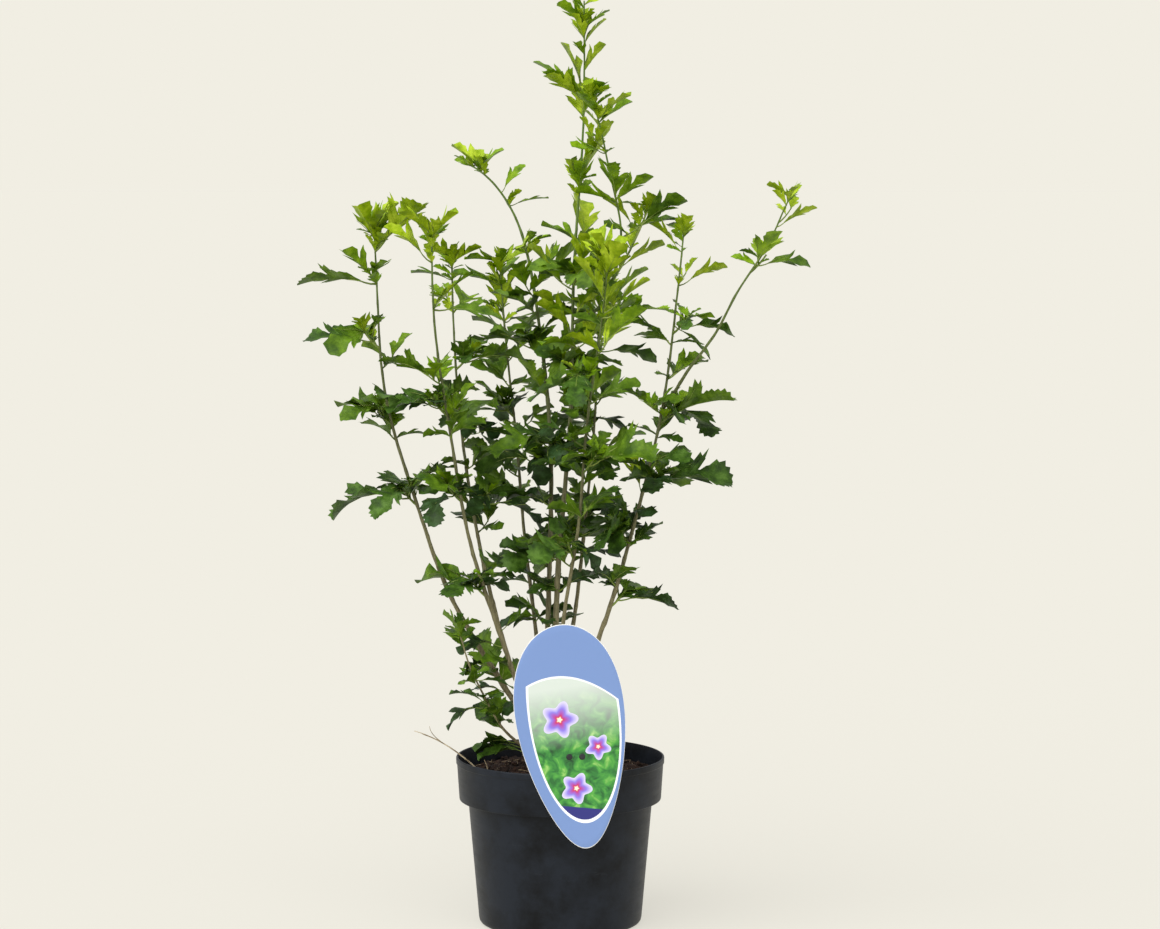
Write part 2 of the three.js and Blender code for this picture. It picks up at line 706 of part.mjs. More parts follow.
function makeSoil() {
  const edge = soil.level - soil.edgeDrop;
  const inside = potInside(gap);
  const slope = (pot.rimRadius - pot.bandFootRadius) / pot.bandHeight;
  const edgeRadius = pot.bandFootRadius - pot.wall - gap + slope * (edge - bandFoot);
  const top = [
    [edgeRadius, edge],
    [soil.skirtRadius, edge + soil.moundRise],
    [soil.moundRadius, soil.level + soil.moundRise],
    [soil.bedRadius, soil.level],
    [0, soil.level],
  ];
  return turned([...inside, ...top], pot.segments);
}

// The label's egg is an ellipse that is widened above its middle and narrowed below it.
function makeLabel() {
  const outline = new THREE.Shape();
  for (let i = 0; i < label.points; i += 1) {
    const angle = (2 * Math.PI * i) / label.points;
    const x = label.halfWidth * Math.sin(angle) * (1 + label.egg * Math.cos(angle));
    const z = label.pinsBelowCentre + label.halfLength * Math.cos(angle);
    if (i === 0) {
      outline.moveTo(x, z);
    } else {
      outline.lineTo(x, z);
    }
  }
  const sheet = new THREE.ExtrudeGeometry(outline, { depth: label.thickness, bevelEnabled: false });
  sheet.translate(0, 0, clip.thickness + gap);
  let solid = toSolid(sheet);
  for (const side of [-1, 1]) {
    const hole = new THREE.CylinderGeometry(pin.radius + gap, pin.radius + gap, clip.width, pin.sides);
    hole.rotateX(Math.PI / 2).translate((side * pin.spacing) / 2, 0, 0);
    solid = solid.subtract(toSolid(hole.rotateZ(-radians(label.lean))));
  }
  return solid;
}

// The clip: a plate behind the label with two pins, and a hook over the rim into the pot.
// Its own axes are those of the label: x across, y up from the pins, z forwards from the rim.
function makeClip() {
  const half = clip.width / 2;
  const [top, foot, rim] = [clip.top, clip.foot, pot.height + gap].map((z) => z - label.pinHeight);
  const back = -(pot.wall + gap + hook.slack);
  const solids = [
    boxBetween([-half, foot, 0], [half, top, clip.thickness]),
    boxBetween([-half, rim, back - clip.thickness], [half, rim + clip.thickness, clip.thickness]),
    boxBetween([-half, rim - hook.depth, back - clip.thickness], [half, rim + clip.thickness, back]),
  ];
  const length = clip.thickness + gap + label.thickness + pin.stickOut;
  for (const side of [-1, 1]) {
    const peg = new THREE.CylinderGeometry(pin.radius, pin.radius, length, pin.sides);
    peg.rotateX(Math.PI / 2).translate((side * pin.spacing) / 2, 0, length / 2);
    solids.push(toSolid(peg));
  }
  return fuse(solids);
}

addPart('pot', makePot(), 'pot');
addPart('soil', makeSoil(), 'soil');

// The clip and the label face outwards from the rim, so both stand in a frame turned up from the ground.
const rimFrame = new THREE.Group();
rimFrame.rotation.set(Math.PI / 2, 0, 0);
const turnedFrame = new THREE.Group();
turnedFrame.rotation.z = radians(label.turn);
turnedFrame.add(rimFrame);
rimFrame.position.set(0, -(pot.rimRadius + gap), label.pinHeight);
plant.add(turnedFrame);
addPart('label_clip', makeClip(), 'clip', rimFrame);
const labelMesh = addPart('label', makeLabel(), 'label', rimFrame);
labelMesh.rotation.z = radians(label.lean);
plant.updateMatrixWorld(true);
const labelBox = new THREE.Box3().setFromObject(labelMesh);

// ---- Trunk, canes and branches

// How far the corners of a many-sided limb move out where its faces move out by the gap.
const cornerGap = (sides) => gap / Math.cos(Math.PI / sides);

// The trunk, or the trunk with a margin all round it and on top.
function makeTrunk(margin) {
  const [topRise] = trunk.rings.at(-1);
  const path = trunk.rings.map(([rise]) => new THREE.Vector3(
    trunk.foot[0] + trunk.lean[0] * rise,
    trunk.foot[1] + trunk.lean[1] * rise,
    soil.level + gap + rise * (1 + margin / topRise),
  ));
  return limbSolid(path, trunk.rings.map(([, radius]) => radius + margin), trunk.sides, true);
}

addPart('trunk', makeTrunk(0), 'bark');
const trunkClearance = makeTrunk(cornerGap(trunk.sides));

// A limb's name without its kind, for the shoots that it bears.
const plainName = (name) => name.replace('cane_', '');

Object.entries(limbs).forEach(([name, limb], order) => {
  limb.name = name;
  limb.order = order;
  limb.knee = vector(limb.knee);
  limb.tip = vector(limb.tip);
  if (limb.from) {
    const parent = limbs[limb.from];
    limb.foot = curvePoint(parent, reachesHeight(parent, limb.fork));
  } else {
    limb.foot = vector(limb.foot);
  }
  limb.end.from = reachesHeight(limb, limb.top);
  limb.length = limb.foot.distanceTo(limb.knee) + limb.knee.distanceTo(limb.tip);
});

// A cane starts on the trunk's axis and a branch on its parent's, and what lies inside that, or within
// a gap of it, is cut away. limb.clearance is the limb with the gap round it, for the shoots it bears.
for (const [name, limb] of Object.entries(limbs)) {
  const { path, radii } = stretch(limb, 0, limb.end.from, caneStep);
  limb.clearance = limbSolid(path, radii.map((size) => size + cornerGap(caneSides)), caneSides);
  const bearer = limb.from ? limbs[limb.from].clearance : trunkClearance;
  addPart(name, largestBody(limbSolid(path, radii, caneSides).subtract(bearer)), 'bark');
}

for (const [name, limb] of Object.entries(limbs)) {
  const tipName = `tip_${plainName(name)}`;
  for (const [owner, from, to] of [[name, 0, limb.end.from], [tipName, limb.end.from, 1]]) {
    const { path, radii } = stretch(limb, from, to, probeStep);
    path.forEach((point, i) => {
      limbProbes.push({ owner, point, radius: radii[i] });
    });
  }
}

// ---- Foliage: first the tips, then the side shoots, each with its own seed

const tipSeed = { first: 101, step: 17 };
const shootSeed = { first: 1009, limbStep: 31, step: 7 };

Object.entries(limbs).forEach(([name, limb], i) => {
  const tipName = `tip_${plainName(name)}`;
  const tip = growTip(tipName, limb, tipSeed.first + tipSeed.step * i);
  addPart(tipName, tip, limb.end.young > 0.5 ? 'youngLeaf' : 'oldLeaf');
});

Object.entries(limbs).forEach(([name, limb], i) => {
  limb.sprays.forEach((plan, j) => {
    const sprayName = `spray_${plainName(name)}_${j + 1}`;
    const seed = shootSeed.first + shootSeed.limbStep * i + shootSeed.step * j;
    addPart(sprayName, growSpray(sprayName, limb, plan, seed), plan.z > 560 ? 'youngLeaf' : 'oldLeaf');
  });
});

export default plant;
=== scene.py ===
import bpy
import numpy as np
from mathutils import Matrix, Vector


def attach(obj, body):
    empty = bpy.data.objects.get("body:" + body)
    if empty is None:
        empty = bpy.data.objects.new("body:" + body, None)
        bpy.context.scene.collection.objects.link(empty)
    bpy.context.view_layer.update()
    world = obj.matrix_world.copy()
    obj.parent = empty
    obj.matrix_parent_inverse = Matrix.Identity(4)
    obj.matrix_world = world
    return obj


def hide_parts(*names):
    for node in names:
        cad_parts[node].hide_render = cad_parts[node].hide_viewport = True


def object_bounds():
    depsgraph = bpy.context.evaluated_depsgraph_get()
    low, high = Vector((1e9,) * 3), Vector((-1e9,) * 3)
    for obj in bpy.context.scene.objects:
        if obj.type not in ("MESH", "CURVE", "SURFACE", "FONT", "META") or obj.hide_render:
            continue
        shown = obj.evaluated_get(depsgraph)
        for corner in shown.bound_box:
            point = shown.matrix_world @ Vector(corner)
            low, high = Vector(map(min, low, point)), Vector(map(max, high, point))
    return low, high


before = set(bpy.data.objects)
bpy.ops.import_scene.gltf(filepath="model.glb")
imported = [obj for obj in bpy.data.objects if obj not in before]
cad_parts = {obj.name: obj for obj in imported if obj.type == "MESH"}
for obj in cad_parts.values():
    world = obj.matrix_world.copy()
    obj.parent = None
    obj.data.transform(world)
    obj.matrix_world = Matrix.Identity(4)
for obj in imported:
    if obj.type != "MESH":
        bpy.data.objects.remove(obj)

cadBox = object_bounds()
mm = 0.001
gap = 0.3  # between two pieces that touch on the real plant
goldenAngle = 137.5


# The camera stands 3 m in front, as high as the upper crown, and looks a little down

camera = {"place": (18.04, -3000, 700.48), "tiltDown": 5.345, "lens": 103.31, "sensor": 36, "clipEnd": 100}


def makeCamera():
    # a long lens, level from side to side and tilted down
    data = bpy.data.cameras.new("camera")
    data.lens = camera["lens"]
    data.sensor_width = camera["sensor"]
    data.clip_end = camera["clipEnd"]
    eye = bpy.data.objects.new("camera", data)
    eye.location = [value * mm for value in camera["place"]]
    eye.rotation_euler = (np.radians(90 - camera["tiltDown"]), 0, 0)
    bpy.context.scene.collection.objects.link(eye)
    bpy.context.scene.camera = eye


makeCamera()
print("camera set")


# Numbers and directions


def unit(vectors):
    # each vector divided by its own length
    return vectors / np.linalg.norm(vectors, axis=-1, keepdims=True)


def direction(heading, pitch):
    # the unit vector at a compass heading (0 along +X, 90 along +Y) and a pitch above the level, in degrees
    h, p = np.radians(heading), np.radians(pitch)
    return np.stack([np.cos(h) * np.cos(p), np.sin(h) * np.cos(p), np.sin(p) + 0 * h], -1)


def squareTo(axis, reference):
    # the part of the reference at right angles to a unit axis, made a unit vector
    return unit(reference - (axis * reference).sum(-1, keepdims=True) * axis)


def seeded(seed):
    # a row of numbers from 0 to 1, the same on every run: each state is the last one times a factor, modulo
    # a prime
    factor, prime = 16807, 2147483647
    state = seed

    def draw():
        nonlocal state
        state = state * factor % prime
        return state / prime

    return draw


def ripple(points, wavelength, seed, waves=24):
    # a smooth random field about 1 high: the sum of plane waves of near that wavelength in random directions
    rng = np.random.default_rng(seed)
    lengths = wavelength * rng.uniform(0.7, 1.4, (waves, 1))
    steps = unit(rng.normal(size=(waves, points.shape[-1]))) * 2 * np.pi / lengths
    return np.sin(points @ steps.T + rng.uniform(0, 2 * np.pi, waves)).sum(-1) * (2 / waves) ** 0.5


def ripples(points, rows):
    # the sum of several such fields, each with its height, wavelength and seed
    return sum(height * ripple(points, wavelength, seed) for height, wavelength, seed in rows)


# Meshes from whole arrays


def gridFaces(rows, columns, wrap=False):
    # the quads between neighbours of a grid numbered row by row; wrap joins the last column to the first
    i, j = np.meshgrid(np.arange(rows - 1), np.arange(columns if wrap else columns - 1), indexing="ij")
    here, after = i * columns + j, i * columns + (j + 1) % columns
    return np.stack([here, after, after + columns, here + columns], -1).reshape(-1, 4)


def tubeFaces(rows, columns):
    # the wall of a grid whose rows are rings, and the flat faces that close the first and the last ring
    ring = np.arange(columns)[None]
    return [gridFaces(rows, columns, True), ring[:, ::-1], ring + (rows - 1) * columns]


def circle(sides):
    # the corners of a level circle of radius 1
    angles = 2 * np.pi * np.arange(sides) / sides
    return np.stack([np.cos(angles), np.sin(angles)], -1)


def atHeights(rings, heights):
    # level rings of points, each put at its height
    return np.concatenate([rings, np.tile(heights[:, None, None], (1, rings.shape[1], 1))], -1)


def makePiece(name, points, faceSets, materials, slot, nodes=(), sharp=None, kinds=None):
    # points are in millimetres, and a face set is an array of faces; edges past the angle sharp stay sharp
    mesh = bpy.data.meshes.new(name)
    corners = np.concatenate([faces.ravel() for faces in faceSets])
    sizes = np.concatenate([np.full(len(faces), faces.shape[1]) for faces in faceSets])
    mesh.vertices.add(len(points))
    mesh.vertices.foreach_set("co", (points * mm).astype(np.float32).ravel())
    mesh.loops.add(len(corners))
    mesh.loops.foreach_set("vertex_index", corners.astype(np.int32))
    mesh.polygons.add(len(sizes))
    mesh.polygons.foreach_set("loop_start", (np.cumsum(sizes) - sizes).astype(np.int32))
    if kinds is not None:
        mesh.polygons.foreach_set("material_index", kinds.astype(np.int32))
    mesh.update(calc_edges=True)
    mesh.shade_smooth()
    if sharp is not None:
        mesh.set_sharp_from_angle(angle=np.radians(sharp))
    for material in materials:
        mesh.materials.append(material)
    piece = bpy.data.objects.new(name, mesh)
    bpy.context.scene.collection.objects.link(piece)
    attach(piece, "root")
    if nodes:
        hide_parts(*nodes)
    return piece


def applyModifiers(piece):
    # the mesh that the modifiers give becomes the piece's own
    graph = bpy.context.evaluated_depsgraph_get()
    made = piece.evaluated_get(graph)
    mesh = bpy.data.meshes.new_from_object(made, preserve_all_data_layers=True, depsgraph=graph)
    piece.modifiers.clear()
    piece.data = mesh


def cutAway(piece, points, faceSets, sharp):
    # takes the closed shapes of the second mesh out of the piece and keeps its edges past an angle sharp
    mesh = bpy.data.meshes.new("cutter")
    mesh.from_pydata((points * mm).tolist(), [], [face for faces in faceSets for face in faces.tolist()])
    cutter = bpy.data.objects.new("cutter", mesh)
    bpy.context.scene.collection.objects.link(cutter)
    cut = piece.modifiers.new("cut", "BOOLEAN")
    cut.operation = "DIFFERENCE"
    cut.solver = "EXACT"
    cut.object = cutter
    applyModifiers(piece)
    bpy.data.objects.remove(cutter)
    piece.data.set_sharp_from_angle(angle=np.radians(sharp))


def joinParts(parts):
    # several sets of points and faces as one: the faces of each part count on from the points before it
    starts = np.cumsum([0] + [len(points) for points, _ in parts])
    faceSets = [faces + start for start, (_, sets) in zip(starts, parts) for faces in sets]
    return np.concatenate([points for points, _ in parts]), faceSets


def turned(profile, segments):
    # a solid of revolution: each profile point (radius, height) goes round the axis; the first and last lie
    # on it
    radii, heights = np.array(profile[1:-1]).T
    wall = atHeights(radii[:, None, None] * circle(segments), heights)
    poles = np.array([[0, 0, profile[0][1]], [0, 0, profile[-1][1]]])
    here = np.arange(segments)
    after = (here + 1) % segments
    count = len(radii) * segments
    last = count - segments
    lowFan = np.stack([np.full(segments, count), after, here], -1)
    highFan = np.stack([np.full(segments, count + 1), last + here, last + after], -1)
    faceSets = [gridFaces(len(radii), segments, True), lowFan, highFan]
    return np.concatenate([wall.reshape(-1, 3), poles]), faceSets


def sweep(paths, radii, references, sides):
    # many tubes at once: a path's point plus its radius times (cos across + sin third), where across is the
    # reference made square to the path and third is square to both; each end is closed by a flat face
    count, steps = paths.shape[:2]
    along = unit(np.gradient(paths, axis=1))
    across = squareTo(along, np.broadcast_to(references[:, None], paths.shape))
    third = np.cross(along, across)
    ring = circle(sides)
    outward = ring[:, :1] * across[:, :, None] + ring[:, 1:] * third[:, :, None]
    if radii.ndim == 2:
        radii = radii[:, :, None]
    points = (paths[:, :, None] + radii[..., None] * outward).reshape(-1, 3)
    starts = (np.arange(count) * steps * sides)[:, None, None]
    return points, [(starts + faces).reshape(-1, faces.shape[1]) for faces in tubeFaces(steps, sides)]


def roundedProfile(corners, steps=5):
    # a profile of straight runs whose corners (radius, height, rounding) are arcs: a quadratic curve from a
    # rounding's length before the corner to the same after it
    points = []
    for i, (x, y, rounding) in enumerate(corners):
        corner = np.array([x, y], float)
        if rounding == 0 or i in (0, len(corners) - 1):
            points.append(corner)
            continue
        before = corner + rounding * unit(np.array(corners[i - 1][:2]) - corner)
        after = corner + rounding * unit(np.array(corners[i + 1][:2]) - corner)
        t = np.linspace(0, 1, steps)[:, None]
        points.extend((1 - t) ** 2 * before + 2 * t * (1 - t) * corner + t ** 2 * after)
    return [tuple(point) for point in points]


# Materials


def toLinear(hexColour):
    # each sRGB channel c becomes c / 12.92 up to 0.04045, and ((c + 0.055) / 1.055) ** 2.4 above it
    c = np.array([int(hexColour[i:i + 2], 16) for i in (1, 3, 5)]) / 255
    return (*np.where(c <= 0.04045, c / 12.92, ((c + 0.055) / 1.055) ** 2.4).tolist(), 1.0)


def link(tree, source, node, key):
    # from a socket, or a node's first output, to an input of another node
    tree.links.new(source.outputs[0] if isinstance(source, bpy.types.Node) else source, node.inputs[key])


def addNode(tree, kind, settings=None, links=None, stops=None):
    # a shader node with its settings (its properties, or values of its inputs), its links and a ramp's stops
    node = tree.nodes.new(f"ShaderNode{kind}")
    for key, value in (settings or {}).items():
        if isinstance(key, str) and hasattr(node, key):
            setattr(node, key, value)
        else:
            node.inputs[key].default_value = value
    for key, source in (links or {}).items():
        link(tree, source, node, key)
    if stops:
        elements = node.color_ramp.elements
        while len(elements) < len(stops):
            elements.new(1)
        for element, (place, colour) in zip(elements, stops):
            element.position = place
            element.color = toLinear(colour)
    return node


def newMaterial(name, surface):
    # a material whose shader's own sockets hold what is the same all over the surface
    material = bpy.data.materials.new(name)
    material.use_nodes = True
    shader = material.node_tree.nodes["Principled BSDF"]
    for socket, value in surface.items():
        shader.inputs[socket].default_value = value
    return material, material.node_tree, shader


def mottledMaterial(name, surface, noise, stops, stretch=(1, 1, 1), bump=None, grain=None):
    # a material whose colour runs through the stops by a noise in the piece's own space. That space may be
    # stretched, and a bump raises the skin by the same noise or by a texture of its own, the grain
    material, tree, shader = newMaterial(name, surface)
    place = addNode(tree, "TexCoord").outputs["Object"]
    if stretch != (1, 1, 1):
        place = addNode(tree, "Mapping", {"Scale": stretch}, {"Vector": place})
    cloud = addNode(tree, "TexNoise", noise, {"Vector": place})
    link(tree, addNode(tree, "ValToRGB", None, {"Fac": cloud}, stops), shader, "Base Color")
    if bump:
        height = addNode(tree, *grain, {"Vector": place}) if grain else cloud
        link(tree, addNode(tree, "Bump", bump, {"Height": height}), shader, "Normal")
    return material


# Pot: a thin moulded wall that steps out to a deep rim band, with drainage slots round its foot

pot = {
    "height": 153, "rimRadius": 95, "bandHeight": 39, "bandFootRadius": 92, "bodyTopRadius": 84,
    "footRadius": 74, "footRound": 5, "wall": 1.8, "lip": 1.2, "segments": 144, "rowHeight": 8, "sharp": 38,
    "slots": 8, "slotTurn": 7, "slotWidth": 16, "slotDepth": 10, "slotHeight": 5, "slotRound": 1.5,
    "bead": [(0.9, 6.2), (0.1, 5.4)],  # the step to the rim's bead: in from the rim and down from it
}
bandFoot = pot["height"] - pot["bandHeight"]


def makePotPlastic():
    # moulded black-grey polypropylene: a satin skin with a fine grain and paler, duller rub marks
    material, tree, shader = newMaterial("satin_polypropylene", {"IOR": 1.49, "Specular IOR Level": 0.2})
    place = addNode(tree, "TexCoord").outputs["Object"]
    cloud = addNode(tree, "TexNoise", {"Scale": 26, "Detail": 7, "Roughness": 0.66}, {"Vector": place})
    tone = addNode(tree, "ValToRGB", None, {"Fac": cloud},
                   [(0.34, "#05070b"), (0.46, "#11151b"), (0.6, "#191e26")])
    level = addNode(tree, "Mapping", {"Scale": (1, 1, 5)}, {"Vector": place})
    rub = addNode(tree, "TexNoise", {"Scale": 38, "Detail": 4, "Roughness": 0.7}, {"Vector": level})
    marks = addNode(tree, "MapRange", {"From Min": 0.63, "From Max": 0.76, "To Max": 0.35}, {"Value": rub})
    colour = addNode(tree, "Mix", {"data_type": "RGBA", 7: toLinear("#34383d")}, {0: marks, 6: tone})
    gloss = addNode(tree, "MapRange", {"To Min": 0.34, "To Max": 0.56}, {"Value": rub})
    # the mould's grain is about 0.3 mm; it is drawn at 1 mm so that it shows
    grain = addNode(tree, "TexNoise", {"Scale": 1000, "Detail": 2}, {"Vector": place})
    bump = addNode(tree, "Bump", {"Strength": 0.18, "Distance": 0.0003}, {"Height": grain})
    for source, socket in ((colour.outputs[2], "Base Color"), (gloss, "Roughness"), (bump, "Normal")):
        link(tree, source, shader, socket)
    return material


def potInside(margin):
    # the pot's inside from its floor to its band, drawn in by a margin
    floor = pot["wall"] + margin
    return [
        (0, floor, 0),
        (pot["footRadius"] - pot["wall"] - margin, floor, 3),
        (pot["bodyTopRadius"] - pot["wall"] - margin, bandFoot + margin, 1),
        (pot["bandFootRadius"] - pot["wall"] - margin, bandFoot + pot["wall"] + margin, 1),
    ]


def makePot():
    # the outer and inner profile, its corners rounded and its long runs cut into rows, turned round the axis
    outside = [
        (0, 0, 0),
        (pot["footRadius"], 0, pot["footRound"]),
        (pot["bodyTopRadius"], bandFoot, 0.8),
        (pot["bandFootRadius"], bandFoot, 0.9),
        *((pot["rimRadius"] - inset, pot["height"] - drop, 0.3) for inset, drop in pot["bead"]),
        (pot["rimRadius"], pot["height"], pot["lip"]),
        (pot["rimRadius"] - pot["wall"], pot["height"], 0.5),
    ]
    profile = roundedProfile(outside + potInside(0)[::-1])
    rows = [profile[0], (pot["footRadius"] / 2, 0)]
    for start, end in zip(profile[1:], profile[2:]):
        steps = max(1, round(abs(end[1] - start[1]) / pot["rowHeight"]))
        rows.extend(tuple(point) for point in np.linspace(start, end, steps, endpoint=False))
    points, faceSets = turned(rows + [profile[-1]], pot["segments"])
    piece = makePiece("nursery_pot", points, faceSets, [makePotPlastic()], "pot", ["pot"], sharp=pot["sharp"])
    # the slots: rounded bars that reach in from the foot's edge
    half, high, deep, arc = pot["slotWidth"] / 2, pot["slotHeight"], pot["slotDepth"], pot["slotRound"]
    corners = [(-half, -high, 0), (half, -high, 0), (half, high, arc), (-half, high, arc), (-half, -high, 0)]
    outline = roundedProfile(corners)[:-1]
    bar = np.array([(x, y - pot["footRadius"], z) for y in (-deep, deep) for x, z in outline])
    parts = []
    for i in range(pot["slots"]):
        turn = np.radians(360 * i / pot["slots"] - pot["slotTurn"])
        spin = np.array([[np.cos(turn), np.sin(turn), 0], [-np.sin(turn), np.cos(turn), 0], [0, 0, 1]])
        parts.append((bar @ spin, tubeFaces(2, len(outline))))
    cutAway(piece, *joinParts(parts), pot["sharp"])


makePot()
print("pot made")


# Compost: coarse and crumbly, a low mound round the trunk, with loose crumbs and fibres

soil = {
    "level": 141, "edgeDrop": 5, "bedRadius": 28, "moundRadius": 45, "moundRise": 2, "skirtRadius": 68,
    "wallRadius": 92, "segments": 200, "rings": 58, "roughness": [(0.9, 16, 3), (0.6, 6, 4), (0.45, 3, 5)],
    "fade": 3, "seed": 11,
}
crumb = {
    "count": 900, "share": 0.97, "innermost": 0.05, "least": 0.7, "span": 2.3, "fromWall": 0.6, "proud": 0.6,
    "dents": (0.65, 1.15), "squash": (0.6, 1.2),
}
fibre = {
    "count": 70, "share": 0.9, "innermost": 0.1, "radius": 0.28, "length": (6, 17), "bow": 0.4, "fromWall": 3,
    "rise": 2, "tilt": 1.2, "points": 5, "sides": 5,
}
soilEdge = soil["level"] - soil["edgeDrop"]
soilRadius = (pot["bandFootRadius"] - pot["wall"] - gap
              + (pot["rimRadius"] - pot["bandFootRadius"]) / pot["bandHeight"] * (soilEdge - bandFoot))


def soilHeight(radius):
    # the surface's height by its distance from the axis: a flat bed, a low mound and a fall to the wall
    places = [0, soil["bedRadius"], soil["moundRadius"], soil["skirtRadius"], soil["wallRadius"]]
    level, rise = soil["level"], soil["moundRise"]
    heights = [level, level, level + rise, soilEdge + rise, soilEdge]
    return np.interp(radius, places, heights)


def strewn(rng, kind):
    # places spread evenly over the surface at random, out to a share of its radius
    away = soilRadius * kind["share"] * np.sqrt(rng.uniform(kind["innermost"], 1, kind["count"]))
    return away, rng.uniform(0, 2 * np.pi, kind["count"])


def makeSurface(material):
    # the top is roughened by waves of 16, 6 and 3 mm, which fade to nothing at the wall
    inside = [tuple(point) for point in roundedProfile(potInside(gap))]
    top = [(radius, soilHeight(radius)) for radius in np.linspace(soilRadius, 0, soil["rings"])]
    points, faceSets = turned(inside + top, soil["segments"])
    fade = np.clip((soilRadius - np.linalg.norm(points[:, :2], axis=1)) / soil["fade"], 0, 1)
    points[:, 2] += (points[:, 2] > soilEdge - 0.01) * fade * ripples(points[:, :2], soil["roughness"])
    makePiece("compost_surface", points, faceSets, [material], "compost", ["soil"])


def makeCrumbs(rng, material):
    # twenty-faced balls, each dented and squashed by chance. Their twelve corners are the turns of (0, 1,
    # golden) with either sign, and a face joins three corners that are all beside each other, outwards
    golden = (1 + 5 ** 0.5) / 2
    ball = unit(np.array([(0, a, b * golden) for a in (-1, 1) for b in (-1, 1)], float))
    ball = np.concatenate([np.roll(ball, k, axis=1) for k in range(3)])
    beside = np.isclose(ball @ ball.T, 5 ** -0.5)
    triples = np.argwhere(beside[:, :, None] & beside[:, None] & beside)
    outwards = np.linalg.det(ball[triples]) > 0
    faces = triples[outwards & (triples[:, 0] == triples.min(1))]
    count = crumb["count"]
    away, angle = strewn(rng, crumb)
    size = crumb["least"] + crumb["span"] * rng.uniform(0, 1, (count, 1, 1)) ** 3
    radius = size[:, 0, 0]
    away = np.minimum(away, soilRadius - radius - crumb["fromWall"])
    height = soilHeight(away) + crumb["proud"] * radius
    centre = np.stack([away * np.cos(angle), away * np.sin(angle), height], -1)
    shapes = ball * rng.uniform(*crumb["dents"], (count, len(ball), 1)) * size
    shapes = shapes * rng.uniform(*crumb["squash"], (count, 1, 3))
    points = (centre[:, None] + shapes).reshape(-1, 3)
    faces = (np.arange(count)[:, None, None] * len(ball) + faces).reshape(-1, 3)
    makePiece("compost_crumbs", points, [faces], [material], "compost")


def makeFibres(rng):
    # thin pale straws, each a shallow arc that lies on the crumbs
    count = fibre["count"]
    away, angle = strewn(rng, fibre)
    heading = rng.uniform(0, 360, count)
    length = rng.uniform(*fibre["length"], (count, 1, 1))
    t = np.linspace(-0.5, 0.5, fibre["points"])[None, :, None]
    out = direction(heading, 0)[:, None]
    side = direction(heading + 90, 0)[:, None]
    middle = np.stack([away * np.cos(angle), away * np.sin(angle), 0 * away], -1)[:, None]
    bow = rng.uniform(-fibre["bow"], fibre["bow"], (count, 1, 1))
    paths = middle + length * (t * out + bow * (0.25 - t * t) * side)
    reach = np.linalg.norm(paths[..., :2], axis=-1)
    paths[..., :2] *= np.minimum(1, (soilRadius - fibre["fromWall"]) / reach)[..., None]
    tilt = fibre["tilt"] * rng.uniform(-1, 1, (count, 1)) * t[..., 0]
    paths[..., 2] = soilHeight(np.minimum(reach, soilRadius)) + fibre["rise"] + tilt
    up = np.tile([[0.0, 0, 1]], (count, 1))
    points, faceSets = sweep(paths, np.full(paths.shape[:2], fibre["radius"]), up, fibre["sides"])
    # dry plant fibre: matt and straw-coloured
    straw = mottledMaterial("dry_fibre", {"Roughness": 0.8}, {"Scale": 120, "Detail": 2},
                            [(0.35, "#4e3a28"), (0.65, "#a08c6c")])
    makePiece("compost_fibres", points, faceSets, [straw], "compost")


def makeSoil():
    # damp peat and bark compost: near-black brown crumbs of about 4 mm, redder where they are dry
    material = mottledMaterial(
        "peat_compost", {"IOR": 1.4, "Roughness": 0.92}, {"Scale": 90, "Detail": 6, "Roughness": 0.7},
        [(0.3, "#150d09"), (0.5, "#2a1a12"), (0.66, "#402a1d"), (0.8, "#5c4331")],
        bump={"Strength": 0.8, "Distance": 0.0015}, grain=("TexVoronoi", {"Scale": 240}))
    makeSurface(material)
    rng = np.random.default_rng(soil["seed"])
    makeCrumbs(rng, material)
    makeFibres(rng)


makeSoil()
print("compost made")


# Limbs: each cane and branch is one tapering limb on a curve from its foot, drawn towards its knee, to its
# tip. The foot of a branch is the limb and the height at which it forks. The bare limb ends at the height
# "top", where its leafy tip takes over. end is that tip's heading, longest blade and youth. sprays are the
# side shoots: height, compass heading, longest blade, pitch and number of leaves, and after it the reach of
# a shoot that is a leafy stem.

